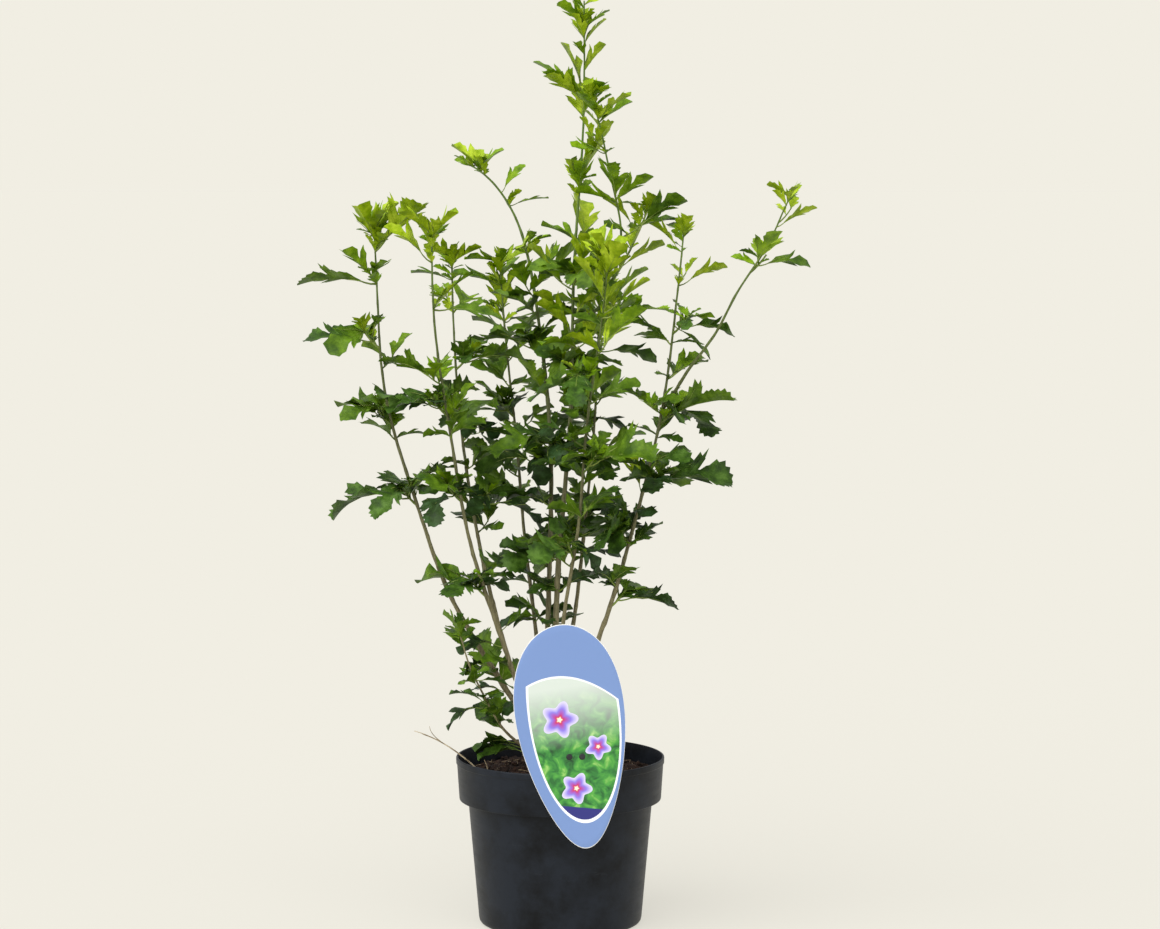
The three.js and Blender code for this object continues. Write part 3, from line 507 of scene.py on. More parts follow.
limbKeys = ("foot", "knee", "tip", "top", "girth", "end", "sprays")
endKeys = ("heading", "blade", "young")
sprayKeys = ("z", "heading", "blade", "pitch", "leaves", "reach")
limbRows = {
    "cane_far_left": [(-17, 0, 166), (-172, -14, 377), (-165, -30, 632), 574, (2.9, 1.1), (180, 70, 0.6),
                      [(384, 182, 67, -6, 6), (455, 160, 45, 10, 7), (526, 184, 56, 14, 5)]],
    "cane_left_front": [(-16, -6, 168), (-108, -32, 366), (-113, -75, 632), 548, (2.7, 1.1), (2, 58, 0.55),
                        [(302, 184, 52, 4, 6), (390, 205, 56, 2, 7), (468, 170, 49, 14, 7)]],
    "cane_left": [("cane_left_front", 236), (-98, 14, 400), (-98, 24, 606), 545, (2.3, 1.1), (75, 50, 0.5),
                  [(378, -8, 58, 4, 7), (440, 8, 40, 6, 7), (505, -6, 54, 4, 7)]],
    "cane_back_left": [(-16, 5, 168), (14, 72, 655), (-85, 80, 690), 588, (2.8, 1), (250, 44, 0.75),
                       [(322, 195, 60, -4, 7), (408, 160, 60, 4, 7), (515, 188, 60, 2, 7)]],
    "cane_tall": [(-11, 0, 168), (13, 0, 491), (23, 0, 836), 655, (3.3, 0.9), (200, 40, 0.9),
                  [(345, 350, 58, 0, 7), (425, 215, 60, 4, 7), (498, 80, 63, 8, 7), (580, 285, 63, 14, 7)]],
    "branch_tall": [("cane_tall", 548), (88, -6, 574), (26, -22, 752), 690, (1.8, 0.9), (185, 42, 0.9),
                    [(586, 20, 47, 30, 0, 74)]],
    "cane_back": [(-7, 5, 168), (30, 56, 339), (37, 112, 572), 505, (2.6, 1.1), (20, 54, 0.35),
                  [(362, 40, 63, -2, 7), (442, 110, 63, 4, 7)]],
    "cane_right": [(-6, -3, 164), (96, -44, 391), (110, -28, 632), 572, (3, 1), (10, 42, 0.75),
                   [(292, -6, 54, 8, 4), (352, 150, 56, 4, 7), (398, -4, 72, 2, 7), (458, -16, 65, 8, 7),
                    (540, -10, 45, 10, 6)]],
    "branch_far_right": [("cane_right", 472), (150, -66, 557), (203, -84, 662), 622, (1.7, 0.9), (8, 42, 0.9),
                         [(596, -4, 44, 4, 3)]],
    "cane_front": [(-10, -7, 168), (12, -50, 330), (42, -98, 612), 545, (2.6, 1.1), (330, 60, 0.7),
                   [(340, 250, 56, 0, 7), (418, 320, 63, 4, 7), (492, 210, 60, 8, 7)]],
    "cane_rear": [(-12, 8, 166), (-34, 84, 340), (-58, 138, 600), 530, (2.6, 1.1), (60, 52, 0.45),
                  [(370, 100, 63, 0, 7), (455, 170, 60, 6, 7)]],
    "shoot_low": [(-18, -4, 152), (-64, -34, 176), (-92, -58, 282), 196, (1.6, 0.9), (200, 42, 0), []],
}
sway = {"size": 1.6, "waves": 2.5, "fadeIn": 5}
taper = 0.8


def curvePoint(limb, t):
    # the quadratic curve from foot by knee to tip, plus a slight sway of the young wood in one direction
    t = np.asarray(t, float)
    s = t[..., None]
    curve = (1 - s) ** 2 * limb["foot"] + 2 * s * (1 - s) * limb["knee"] + s ** 2 * limb["tip"]
    swing = sway["size"] * np.sin(2 * np.pi * sway["waves"] * t + limb["order"])
    swing = swing * np.minimum(1, sway["fadeIn"] * t)
    return curve + swing[..., None] * direction(limb["order"] * goldenAngle, 0)


def reachesHeight(limb, height):
    # how far along its curve a limb reaches a height, by halving
    low, high = 0.0, 1.0
    for _ in range(30):
        middle = (low + high) / 2
        if curvePoint(limb, middle)[2] < height:
            low = middle
        else:
            high = middle
    return (low + high) / 2


def girthAt(limb, t):
    # the radius: from the foot's to the tip's, by t to the power of the taper
    return limb["girth"][0] + (limb["girth"][1] - limb["girth"][0]) * np.asarray(t) ** taper


def stretch(limb, start, end, step):
    # the stretch of a limb between two places, as points and radii a step apart
    length = np.linalg.norm(curvePoint(limb, start) - curvePoint(limb, end))
    count = max(2, int(length / step + 0.5))
    places = start + (end - start) * np.arange(count + 1) / count
    return curvePoint(limb, places), girthAt(limb, places)


limbs = {}
for order, (name, row) in enumerate(limbRows.items()):
    limb = {"name": name, "plain": name.replace("cane_", ""), "order": order, **dict(zip(limbKeys, row))}
    parent = limbs.get(limb["foot"][0])
    if parent:
        limb["foot"] = curvePoint(parent, reachesHeight(parent, limb["foot"][1]))
    limb.update({key: np.array(limb[key], float) for key in ("foot", "knee", "tip")})
    limb["forked"] = parent is not None
    limb["end"] = dict(zip(endKeys, limb["end"]))
    limb["sprays"] = [dict(zip(sprayKeys, spray)) for spray in limb["sprays"]]
    limb["endFrom"] = reachesHeight(limb, limb["top"])
    limb["length"] = np.linalg.norm(limb["knee"] - limb["foot"]) + np.linalg.norm(limb["tip"] - limb["knee"])
    limbs[name] = limb

bark = {
    "slim": 0.3, "step": 2.5, "sides": 12, "collar": 0.35, "collarLength": 9,
    "knotSpacing": 31, "knotSwell": 0.24, "knotLength": 2.2, "knotSides": (0.55, 0.45),
    "fissure": 0.07, "fissureField": (2.2, 7), "fissureSize": 2.6, "seed": 40,
}


def makeBark():
    # thin young bark: grey-tan with paler streaks on old wood, olive and then green on this year's wood
    material, tree, shader = newMaterial("young_bark", {"IOR": 1.45, "Roughness": 0.7})
    place = addNode(tree, "TexCoord").outputs["Object"]
    height = addNode(tree, "SeparateXYZ", None, {"Vector": place}).outputs["Z"]
    share = addNode(tree, "MapRange", {"From Min": 0.15, "From Max": 0.75}, {"Value": height})
    old = addNode(tree, "ValToRGB", None, {"Fac": share},
                  [(0, "#978a6a"), (0.25, "#8c8562"), (0.5, "#70724a"), (0.7, "#627534"), (0.95, "#65862c")])
    # streaks along the wood, about 1.5 mm wide and 15 mm long
    lengthwise = addNode(tree, "Mapping", {"Scale": (1, 1, 0.1)}, {"Vector": place})
    streak = addNode(tree, "TexNoise", {"Scale": 700, "Detail": 4, "Roughness": 0.65}, {"Vector": lengthwise})
    tint = addNode(tree, "ValToRGB", None, {"Fac": streak},
                   [(0.32, "#a8a39a"), (0.5, "#dcdcd6"), (0.68, "#ffffff")])
    colour = addNode(tree, "Mix", {"data_type": "RGBA", "blend_type": "MULTIPLY", 0: 1.0}, {6: old, 7: tint})
    link(tree, colour.outputs[2], shader, "Base Color")
    bump = addNode(tree, "Bump", {"Strength": 0.5, "Distance": 0.0004}, {"Height": streak})
    link(tree, bump, shader, "Normal")
    return material


def woodField(sides, distance, width, length):
    # a place for each point of a limb's skin, where the wood is as wide as a width and shorter by a length
    return atHeights(np.tile(circle(sides) * width, (len(distance), 1, 1)), distance / length)


def makeLimbs(material):
    # a limb's surface is its curve plus its girth times (1 + knots + fissures): a knot is a bell-shaped
    # swelling at every leaf scar, stronger on one side, and the fissures are a field stretched along the
    # wood; the green wood towards the tip is slimmer
    angle = 2 * np.pi * np.arange(bark["sides"]) / bark["sides"]
    samples = np.linspace(0, 1, 400)
    for name, limb in limbs.items():
        steps = np.linalg.norm(np.diff(curvePoint(limb, samples), axis=0), axis=1)
        run = np.concatenate([[0], np.cumsum(steps)])
        places = np.interp(np.linspace(0, run[-1], int(run[-1] / bark["step"])), run, samples)
        distance = np.interp(places, samples, run)
        knot = np.round(distance / bark["knotSpacing"])
        bell = np.exp(-((distance - knot * bark["knotSpacing"]) / bark["knotLength"]) ** 2)
        even, uneven = bark["knotSides"]
        facing = even + uneven * np.cos(angle[None] - np.radians(goldenAngle) * knot[:, None])
        field = woodField(bark["sides"], distance, *bark["fissureField"])
        fissures = ripple(field, bark["fissureSize"], bark["seed"] + limb["order"])
        swell = 1 + bark["knotSwell"] * bell[:, None] * facing + bark["fissure"] * fissures
        radii = girthAt(limb, places)[:, None] * (1 - bark["slim"] * places[:, None]) * swell
        if not limb["forked"]:  # the collar where a cane leaves the stock
            radii *= 1 + bark["collar"] * np.exp(-distance / bark["collarLength"])[:, None]
        path = curvePoint(limb, places)
        points, faceSets = sweep(path[None], radii[None], np.array([[0.0, 1, 0]]), bark["sides"])
        makePiece(f"{name}_bark", points, faceSets, [material], "bark", [name])


makeLimbs(makeBark())
print("canes and branches made")

# a dead forked twig that leans from the compost out over the rim at the left, and a dry stub before it
dryTwig = {
    "root": (-74, -24, 144), "fork": (-105, -22, 164),
    "tips": [(-132, -24, 180), (-124, -15, 171), (-117, -30, 181)],
    "stub": [(-66, -46, 140), (-68, -49, 158)], "bows": [(0, 0, 5), (0, -2, 1), (-3, 1, 0), (2, 0, 0)],
    "radius": 0.8, "shares": [1, 0.7, 0.6, 1.1], "thinned": 0.4, "points": 12, "sides": 7,
}


def makeDryTwig():
    # four arcs: the twig's stem, the forks on either side of it, and the stub; each thins to less than half
    fork = np.array(dryTwig["fork"], float)
    starts = np.array([dryTwig["root"], fork, fork, dryTwig["stub"][0]], float)
    ends = np.array([*dryTwig["tips"], dryTwig["stub"][1]], float)
    t = np.linspace(0, 1, dryTwig["points"])[None, :, None]
    bow = np.array(dryTwig["bows"], float)[:, None] * 4 * t * (1 - t)
    paths = starts[:, None] + (ends - starts)[:, None] * t + bow
    paths[1:3] += paths[0, dryTwig["points"] // 2] - fork  # the forks start from the stem's own middle
    shares = np.array(dryTwig["shares"])[:, None]
    radii = dryTwig["radius"] * shares * np.linspace(1, dryTwig["thinned"], dryTwig["points"])
    points, faceSets = sweep(paths, radii, np.tile([[0.1, 1.0, 0]], (4, 1)), dryTwig["sides"])
    # weathered dead wood: matt and bleached
    material = mottledMaterial("dead_wood", {"Roughness": 0.85}, {"Scale": 150, "Detail": 3},
                               [(0.35, "#7c6c52"), (0.65, "#b5a688")])
    makePiece("dry_twig", points, faceSets, [material], "bark")


makeDryTwig()


# Trunk: a short leaning stock with a root flare, a waist and the knuckle where it was cut back

trunk = {
    "foot": (-12, 0), "lean": (0.06, -0.03), "sides": 56, "rows": 70,
    # rise and radius
    "rings": [(-4, 15.2), (0, 14), (3, 11.6), (8, 9.8), (14, 9.2), (20, 10.4), (25, 12), (30, 11.6), (34, 8),
              (35.5, 3)],
    "lumpField": (6, 4), "lumps": [(0.05, 9, 61), (0.035, 3, 62)],
}


def makeTrunk():
    # level rings round a leaning line; each radius is the ring's plus ridges that run up the wood and lumps
    rises, sizes = np.array(trunk["rings"]).T
    rise = np.linspace(rises[0], rises[-1], trunk["rows"])
    radius = np.interp(rise, rises, sizes)
    radius[3:-3] = np.convolve(radius, np.ones(5) / 5, "same")[3:-3]  # smoothed over five rows
    field = woodField(trunk["sides"], rise, *trunk["lumpField"])
    size = radius[:, None] * (1 + ripples(field, trunk["lumps"]))
    centre = np.array(trunk["foot"]) + np.array(trunk["lean"]) * rise[:, None]
    rings = centre[:, None] + size[..., None] * circle(trunk["sides"])
    points = atHeights(rings, soil["level"] + gap + rise).reshape(-1, 3)
    # older bark of the stock: grey-brown, fissured, with paler ridges
    material = mottledMaterial(
        "old_bark", {"IOR": 1.45, "Roughness": 0.85}, {"Scale": 260, "Detail": 6, "Roughness": 0.7},
        [(0.34, "#3c3024"), (0.5, "#6f604a"), (0.66, "#9a8b70")],
        stretch=(1, 1, 0.3), bump={"Strength": 0.8, "Distance": 0.0012})
    makePiece("trunk_bark", points, tubeFaces(trunk["rows"], trunk["sides"]), [material], "bark", ["trunk"])


makeTrunk()
print("trunk made")


# Label and its clip. In their own frame x runs across, y up from the pins and z forwards from the rim.

label = {
    "halfLength": 101, "halfWidth": 47.3, "egg": 0.28, "thickness": 0.8, "pinHeight": 169.5,
    "pinsBelowCentre": 18, "lean": 7.5, "turn": 8.4, "points": 160, "rings": 16, "edgeShare": 0.993,
    "edgeHeights": [0.2, 0.6], "printedAbove": 0.7, "sharp": 30,
}
design = {
    "capTop": 0.56, "capAside": 0.12, "capBend": -0.9, "windowMiddle": (0.035, 0.02, 0),
    "windowSize": (0.4, 0.93, 1), "windowWiden": -0.2, "line": 0.018, "footTop": -0.64, "footSlope": 0.25,
    # each blossom's middle, its size and its turn, and how much of its petals' reach is steady and how much
    # swings with the lobes
    "blossoms": [(-0.1, 0.17, 0.17, 0.4), (0.21, -0.12, 0.12, 1.9), (-0.03, -0.46, 0.145, 1.1)],
    "petals": (0.83, 0.17),
}
clip = {"width": 20, "thickness": 1.4, "top": 175, "foot": 136, "bevel": 0.35, "sharp": 40}
pin = {
    "spacing": 11.5, "radius": 1.8, "headRadius": 2.8, "stickOut": 0.8, "sunk": 0.4, "sides": 28,
    "holeSides": 32, "holeCut": 20,
    "dome": [(0.93, 0.25), (0.7, 0.05), (0.35, 0)],  # shares of the head's radius, and how far below its top
}
hook = {"depth": 15, "slack": 2.4}
sheetBack = clip["thickness"] + gap


def turnPlane(x, y, degrees):
    # a turn of the plane of x and y
    turn = np.radians(degrees)
    return x * np.cos(turn) - y * np.sin(turn), x * np.sin(turn) + y * np.cos(turn)


def rimToPlant(points):
    # from the label's frame to the plant's: stood upright, set against the rim and turned about the pot's
    # axis
    x, y, z = np.moveaxis(points, -1, 0)
    return np.stack([*turnPlane(x, -z - pot["rimRadius"] - gap, label["turn"]), y + label["pinHeight"]], -1)


def leanOver(points):
    # a turn about the point between the pins
    x, y, z = np.moveaxis(points, -1, 0)
    return np.stack([*turnPlane(x, y, label["lean"]), z], -1)


def atPins(points, faceSets):
    # the same shape at each of the two pins
    return joinParts([(rimToPlant(points + (side * pin["spacing"] / 2, 0, 0)), faceSets) for side in (-1, 1)])


def eggOutline(angles):
    # an ellipse that is widened above its middle and narrowed below it
    x = label["halfWidth"] * np.sin(angles) * (1 + label["egg"] * np.cos(angles))
    return np.stack([x, label["halfLength"] * np.cos(angles)], -1)


def makePrint():
    # printed polypropylene sheet: a glossy pale-blue field, a thin white line, and a window of garden
    # colours, pale above and green below, with lilac five-petalled blossoms and a plain navy foot; 1 unit of
    # the map is 100 mm
    material, tree, shader = newMaterial("printed_sheet", {"IOR": 1.49, "Roughness": 0.34})
    place = addNode(tree, "UVMap", {"uv_map": "print"})
    split = addNode(tree, "SeparateXYZ", None, {"Vector": place})
    across, up = split.outputs["X"], split.outputs["Y"]

    # how far below the window's arched top a point lies: the arc's height less its own
    aside = addNode(tree, "Math", {"operation": "ADD", 1: design["capAside"]}, {0: across})
    squared = addNode(tree, "Math", {"operation": "POWER", 1: 2.0}, {0: aside})
    arc = addNode(tree, "Math", {"operation": "MULTIPLY_ADD", 1: design["capBend"], 2: design["capTop"]},
                  {0: squared})
    belowCap = addNode(tree, "Math", {"operation": "SUBTRACT"}, {0: arc, 1: up})
    # how far inside the window's edge it lies: an ellipse, wider above its middle as the sheet is
    radius = addNode(tree, "Mapping", {"vector_type": "TEXTURE", "Location": design["windowMiddle"],
                                       "Scale": design["windowSize"]}, {"Vector": place})
    apart = addNode(tree, "VectorMath", {"operation": "LENGTH"}, {0: radius}).outputs["Value"]
    wider = addNode(tree, "Math", {"operation": "MULTIPLY_ADD", 1: design["windowWiden"], 2: 1.0}, {0: up})
    reached = addNode(tree, "Math", {"operation": "MULTIPLY"}, {0: apart, 1: wider})
    insideEdge = addNode(tree, "Math", {"operation": "MULTIPLY_ADD", 1: -0.42, 2: 0.42}, {0: reached})
    inWindow = addNode(tree, "Math", {"operation": "MINIMUM"}, {0: belowCap, 1: insideEdge})

    leafy = addNode(tree, "TexNoise", {"Scale": 9, "Detail": 5, "Distortion": 0.8}, {"Vector": place})
    greens = addNode(tree, "ValToRGB", None, {"Fac": leafy},
                     [(0.3, "#123a1c"), (0.45, "#2f7a34"), (0.58, "#4fa13f"), (0.75, "#a3cf70")])
    haze = addNode(tree, "MapRange", {"From Min": -0.1, "From Max": 0.45}, {"Value": up})

    # each blossom's petals reach out and in five times round its middle; a point lies in the blossom where
    # its distance from the middle is less than that reach, and the nearest blossom is the least of these
    # ratios
    petals = []
    steady, swing = design["petals"]
    for x, y, size, turn in design["blossoms"]:
        offset = addNode(tree, "VectorMath", {"operation": "SUBTRACT", 1: (x, y, 0)}, {0: place})
        away = addNode(tree, "VectorMath", {"operation": "LENGTH"}, {0: offset}).outputs["Value"]
        sides = addNode(tree, "SeparateXYZ", None, {"Vector": offset}).outputs
        angle = addNode(tree, "Math", {"operation": "ARCTAN2"}, {0: sides["Y"], 1: sides["X"]})
        fiveTurns = addNode(tree, "Math", {"operation": "MULTIPLY_ADD", 1: 5.0, 2: turn}, {0: angle})
        lobes = addNode(tree, "Math", {"operation": "COSINE"}, {0: fiveTurns})
        reach = {"operation": "MULTIPLY_ADD", 1: swing * size, 2: steady * size}
        edge = addNode(tree, "Math", reach, {0: lobes})
        petals.append(addNode(tree, "Math", {"operation": "DIVIDE"}, {0: away, 1: edge}))
    petal = petals[0]
    for other in petals[1:]:
        petal = addNode(tree, "Math", {"operation": "MINIMUM"}, {0: other, 1: petal})
    # from the middle out: a cream column, a red eye, then lilac that pales to the rim
    stops = [(0.1, "#fff1d6"), (0.2, "#c8324f"), (0.36, "#a94fae"), (0.6, "#8a78dc"), (0.95, "#d6cff2")]
    tints = addNode(tree, "ValToRGB", None, {"Fac": petal}, stops)
    inPetal = addNode(tree, "Math", {"operation": "LESS_THAN", 1: 1.0}, {0: petal})
    slope = addNode(tree, "Math", {"operation": "MULTIPLY_ADD", 1: design["footSlope"]}, {0: across, 2: up})
    inFoot = addNode(tree, "Math", {"operation": "LESS_THAN", 1: design["footTop"]}, {0: slope})
    inLine = addNode(tree, "Math", {"operation": "GREATER_THAN", 1: design["line"]}, {0: inWindow})
    inField = addNode(tree, "Math", {"operation": "GREATER_THAN", 1: 0.0}, {0: inWindow})

    # the layers, each over the one before it: greens, haze, blossoms and foot, then the line and the field
    # round them
    first, second = 6, 7  # a mix of colours takes the first where it is 0, and the second where it is 1
    layers = [
        (haze, "#cfd8cf", second), (inPetal, tints, second), (inFoot, "#2b2c78", second),
        (inLine, "#f4f6fb", first), (inField, "#748fc2", first),
    ]
    shown = greens
    for chosen, colour, own in layers:
        plain = {own: toLinear(colour)} if isinstance(colour, str) else {}
        painted = {} if plain else {own: colour}
        links = {0: chosen, first + second - own: shown, **painted}
        shown = addNode(tree, "Mix", {"data_type": "RGBA", **plain}, links).outputs[2]
    link(tree, shown, shader, "Base Color")
    return material


def makeLabel():
    # the outline drawn in to the middle by a share, on the sheet's back, round its edge and on its front
    rings, edge = label["rings"], label["edgeShare"]
    steps = np.linspace(0, 1, rings)[1:-1]
    shares = [0, *steps, edge, 1, 1, edge, *steps[::-1], 0]
    heights = [0] * rings + label["edgeHeights"] + [label["thickness"]] * rings
    points, faceSets = turned(list(zip(shares, heights)), label["points"])
    egg = eggOutline(-2 * np.pi * np.arange(label["points"]) / label["points"])
    points[:-2, :2] = (np.array(shares[1:-1])[:, None, None] * egg).reshape(-1, 2)
    flat = points[:, :2].copy()
    points[:, 1] += label["pinsBelowCentre"]
    points[:, 2] += sheetBack
    corners = np.concatenate([faces.ravel() for faces in faceSets])
    printedFrom = sheetBack + label["printedAbove"]
    kinds = np.concatenate([np.where(points[faces, 2].mean(1) > printedFrom, 0, 1) for faces in faceSets])
    # the unprinted back and edge of the sheet: matt white plastic, a little mottled
    bare = mottledMaterial("bare_sheet", {"IOR": 1.49, "Roughness": 0.45}, {"Scale": 60, "Detail": 3},
                           [(0.3, "#dcdcd6"), (0.7, "#ecece8")])
    piece = makePiece("label_sheet", rimToPlant(leanOver(points)), faceSets, [makePrint(), bare], "label",
                      ["label"], kinds=kinds)
    layer = piece.data.uv_layers.new(name="print")
    layer.data.foreach_set("uv", (flat[corners] / 100).astype(np.float32).ravel())
    hole, past = pin["radius"] + gap, pin["holeCut"]
    cutter = turned([(0, -past), (hole, -past), (hole, past), (0, past)], pin["holeSides"])
    cutAway(piece, *atPins(*cutter), label["sharp"])


def makeClip():
    # a strip seen from its side, as a closed outline of forwards and upwards, carried across its width;
    # two pins with domed heads stand on it
    top, foot, rim = (z - label["pinHeight"] for z in (clip["top"], clip["foot"], pot["height"] + gap))
    thick = clip["thickness"]
    back = -(pot["wall"] + gap + hook["slack"])
    outline = [
        (0, foot), (thick, foot), (thick, top), (0, top), (0, rim + thick), (back - thick, rim + thick),
        (back - thick, rim - hook["depth"]), (back, rim - hook["depth"]), (back, rim), (0, rim),
    ]
    half = clip["width"] / 2
    strip = np.array([(x, up, out) for x in (-half, half) for out, up in outline])
    faceSets = [faces[:, ::-1] for faces in tubeFaces(2, len(outline))]
    # moulded black polypropylene: a smoother, glossier skin than the pot's
    material = mottledMaterial("black_polypropylene", {"IOR": 1.49, "Roughness": 0.38},
                               {"Scale": 150, "Detail": 3}, [(0.3, "#17181a"), (0.7, "#232528")])
    piece = makePiece("clip_strip", rimToPlant(strip), faceSets, [material], "clip", ["label_clip"])
    bevel = piece.modifiers.new("edges", "BEVEL")
    bevel.width = clip["bevel"] * mm
    bevel.segments = 3
    bevel.limit_method = "ANGLE"
    applyModifiers(piece)
    piece.data.set_sharp_from_angle(angle=np.radians(clip["sharp"]))
    length = thick + gap + label["thickness"] + pin["stickOut"]
    front = length - pin["stickOut"] + gap / 2
    radius, head, sunk = pin["radius"], pin["headRadius"], thick - pin["sunk"]
    dome = [(head * share, length - below) for share, below in pin["dome"]]
    profile = [(0, sunk), (radius, sunk), (radius, front), (head, front), *dome, (0, length)]
    makePiece("clip_pins", *atPins(*turned(profile, pin["sides"])), [material], "clip", sharp=clip["sharp"])


makeLabel()
makeClip()
print("label and clip made")


# Foliage. Each mass grows by one rule: nodes a spacing apart along a stem, turned by the golden angle, each
# with a stalked leaf and a small leaf or side twig in its axil, and a rosette at the end. A leaf that finds
# no room is turned about its root and tried again, then skipped; a twig that finds no room is skipped.

leaf = {"petioleShare": 0.3, "crownRise": 0.006, "thickness": 0.014, "breadth": (0.98, 0.34), "uneven": 0.35}
stance = {"size": 0.24, "heading": 24, "pitch": 30, "roll": 80, "outward": 0.35}
droop = {"least": 0.25, "age": 0.3, "ageSpread": 0.8, "spread": 0.2}
fold = {"least": 0.12, "youth": 0.45, "spread": 0.2}
retry = {"times": 5, "turn": 22}
node = {"spacing": 34, "first": 0.35, "youth": 0.4, "shorter": 0.4, "pitch": 12, "lift": 40, "twigEvery": 3}
axil = {"rise": 4, "youth": 0.3}
axilTwig = {"blade": 0.55, "turn": 40, "pitch": 35}
axilLeaf = {"blade": 0.5, "turn": -30, "pitch": 40}
rosette = {"leaves": 4, "from": 0.98, "step": 0.05, "blade": 0.64, "shorter": 0.07, "pitch": 30, "lift": 9}
twig = {"radius": 1, "reach": 20, "least": 0.5, "spread": 0.7, "leaves": 2}
twigFan = {"from": 0.94, "step": 0.36, "turn": 60, "widen": 25, "shorter": 0.12, "lift": 12, "drop": 8}
shoot = {"pitch": 48, "stemPitch": 62, "oldBelow": 380, "youthSpan": 420, "thicker": 1.2, "thinner": 0.8}
mainLeaf = {"at": 0.35, "lift": 8}
sideTwig = {"at": 0.5, "blade": 0.42, "turn": 100, "pitch": 40, "youth": 0.2}
shootFan = {
    "from": 0.96, "step": 0.2, "blade": 0.82, "shorter": 0.1, "turn": 62, "widen": 30, "pitch": 2, "lift": 20,
}
clear = {"leaves": 7, "sameShoot": 2.5, "limbs": 3.6, "potTop": 156, "spacing": 5}
fine = {"leaves": 1, "sameShoot": 0.8, "limbs": 0.9, "potTop": 150, "spacing": 4, "pastBox": 4}
# the share of its own limb and shoot, from its foot, that a leaf may touch; and how far off a twig's leaves
# count
spared = {"limb": 0.3, "shoot": 0.5}
twigNear = 60
probe = {"step": 4, "breadth": 0.33, "reach": 0.6}
halfWidths = ([0, 0.16, 0.46, 1], [0.03, 0.22, 0.37, 0])
tipSeed = {"first": 101, "step": 17}
shootSeed = {"first": 1009, "limbStep": 31, "step": 7}


def bladeAt(shape, along, across, lift=0.0, twist=0.0):
    # a point of a blade, in blade lengths along and across it: the blade bends down along an arc (droop),
    # both halves are raised from the midrib (fold), and it may turn about its midrib towards the tip (twist)
    size, bend, crease = (np.asarray(shape[key])[..., None] for key in ("blade", "droop", "fold"))
    along, across = np.broadcast_arrays(np.asarray(along, float), np.asarray(across, float))
    angle, turn = bend * along, twist * along
    raised = crease * np.abs(across) + lift
    aside = across * np.cos(turn) - raised * np.sin(turn)
    raised = raised * np.cos(turn) + across * np.sin(turn)
    forward = np.sin(angle) / bend + raised * np.sin(angle)
    upward = raised * np.cos(angle) - (1 - np.cos(angle)) / bend
    return (shape["base"][..., None, :] + (size * forward)[..., None] * shape["ahead"][..., None, :]
            + (size * aside)[..., None] * shape["side"][..., None, :]
            + (size * upward)[..., None] * shape["up"][..., None, :])


def leafProbes(shape, spacing):
    # points spread over a leaf, close enough together that nothing passes between them
    rows = int(np.ceil(shape["blade"] / spacing))
    columns = int(np.ceil(probe["breadth"] * shape["blade"] / spacing))
    along = np.repeat(np.arange(rows + 1) / rows, 2 * columns + 1)
    share = np.tile(np.arange(-columns, columns + 1) / columns, rows + 1)
    return bladeAt(shape, along, np.interp(along, *halfWidths) * share)


def nearest(points, others):
    # the squared distance of every point from every other point
    squares = (points ** 2).sum(1)[:, None] + (others ** 2).sum(1) - 2 * points @ others.T
    return np.maximum(squares, 0)


# what stands in a new leaf's way: points of the limbs and twigs with their radii, and all leaves so far
owners = {}
limbPoints, limbRadii, limbOwners = np.zeros((0, 3)), np.zeros(0), np.zeros(0, int)
leavesSoFar, twigsSoFar = [], []
reachLow, reachHigh = (np.array(corner) / mm for corner in cadBox)

flatEgg = eggOutline(2 * np.pi * np.arange(32) / 32) + (0, label["pinsBelowCentre"])
eggEnds = (flatEgg.min(0), flatEgg.max(0))
eggBox = rimToPlant(leanOver(np.array([(one[0], other[1], z) for one in eggEnds for other in eggEnds
                                       for z in (sheetBack, sheetBack + label["thickness"])])))
labelLow, labelHigh = eggBox.min(0), eggBox.max(0)


def newMass(name, limb, room=clear):
    # what grows together: its name, its limb's name and how much room its leaves keep
    return {"name": name, "limb": limb, "room": room}


def ownerNumber(name):
    # the number by which the points of a limb or a shoot are known
    return owners.setdefault(name, len(owners))


def addObstacle(name, points, radii):
    # points with radii of which new leaves and twigs keep clear
    global limbPoints, limbRadii, limbOwners
    limbPoints = np.concatenate([limbPoints, points])
    limbRadii = np.concatenate([limbRadii, np.broadcast_to(radii, len(points))])
    limbOwners = np.concatenate([limbOwners, np.full(len(points), ownerNumber(name))])


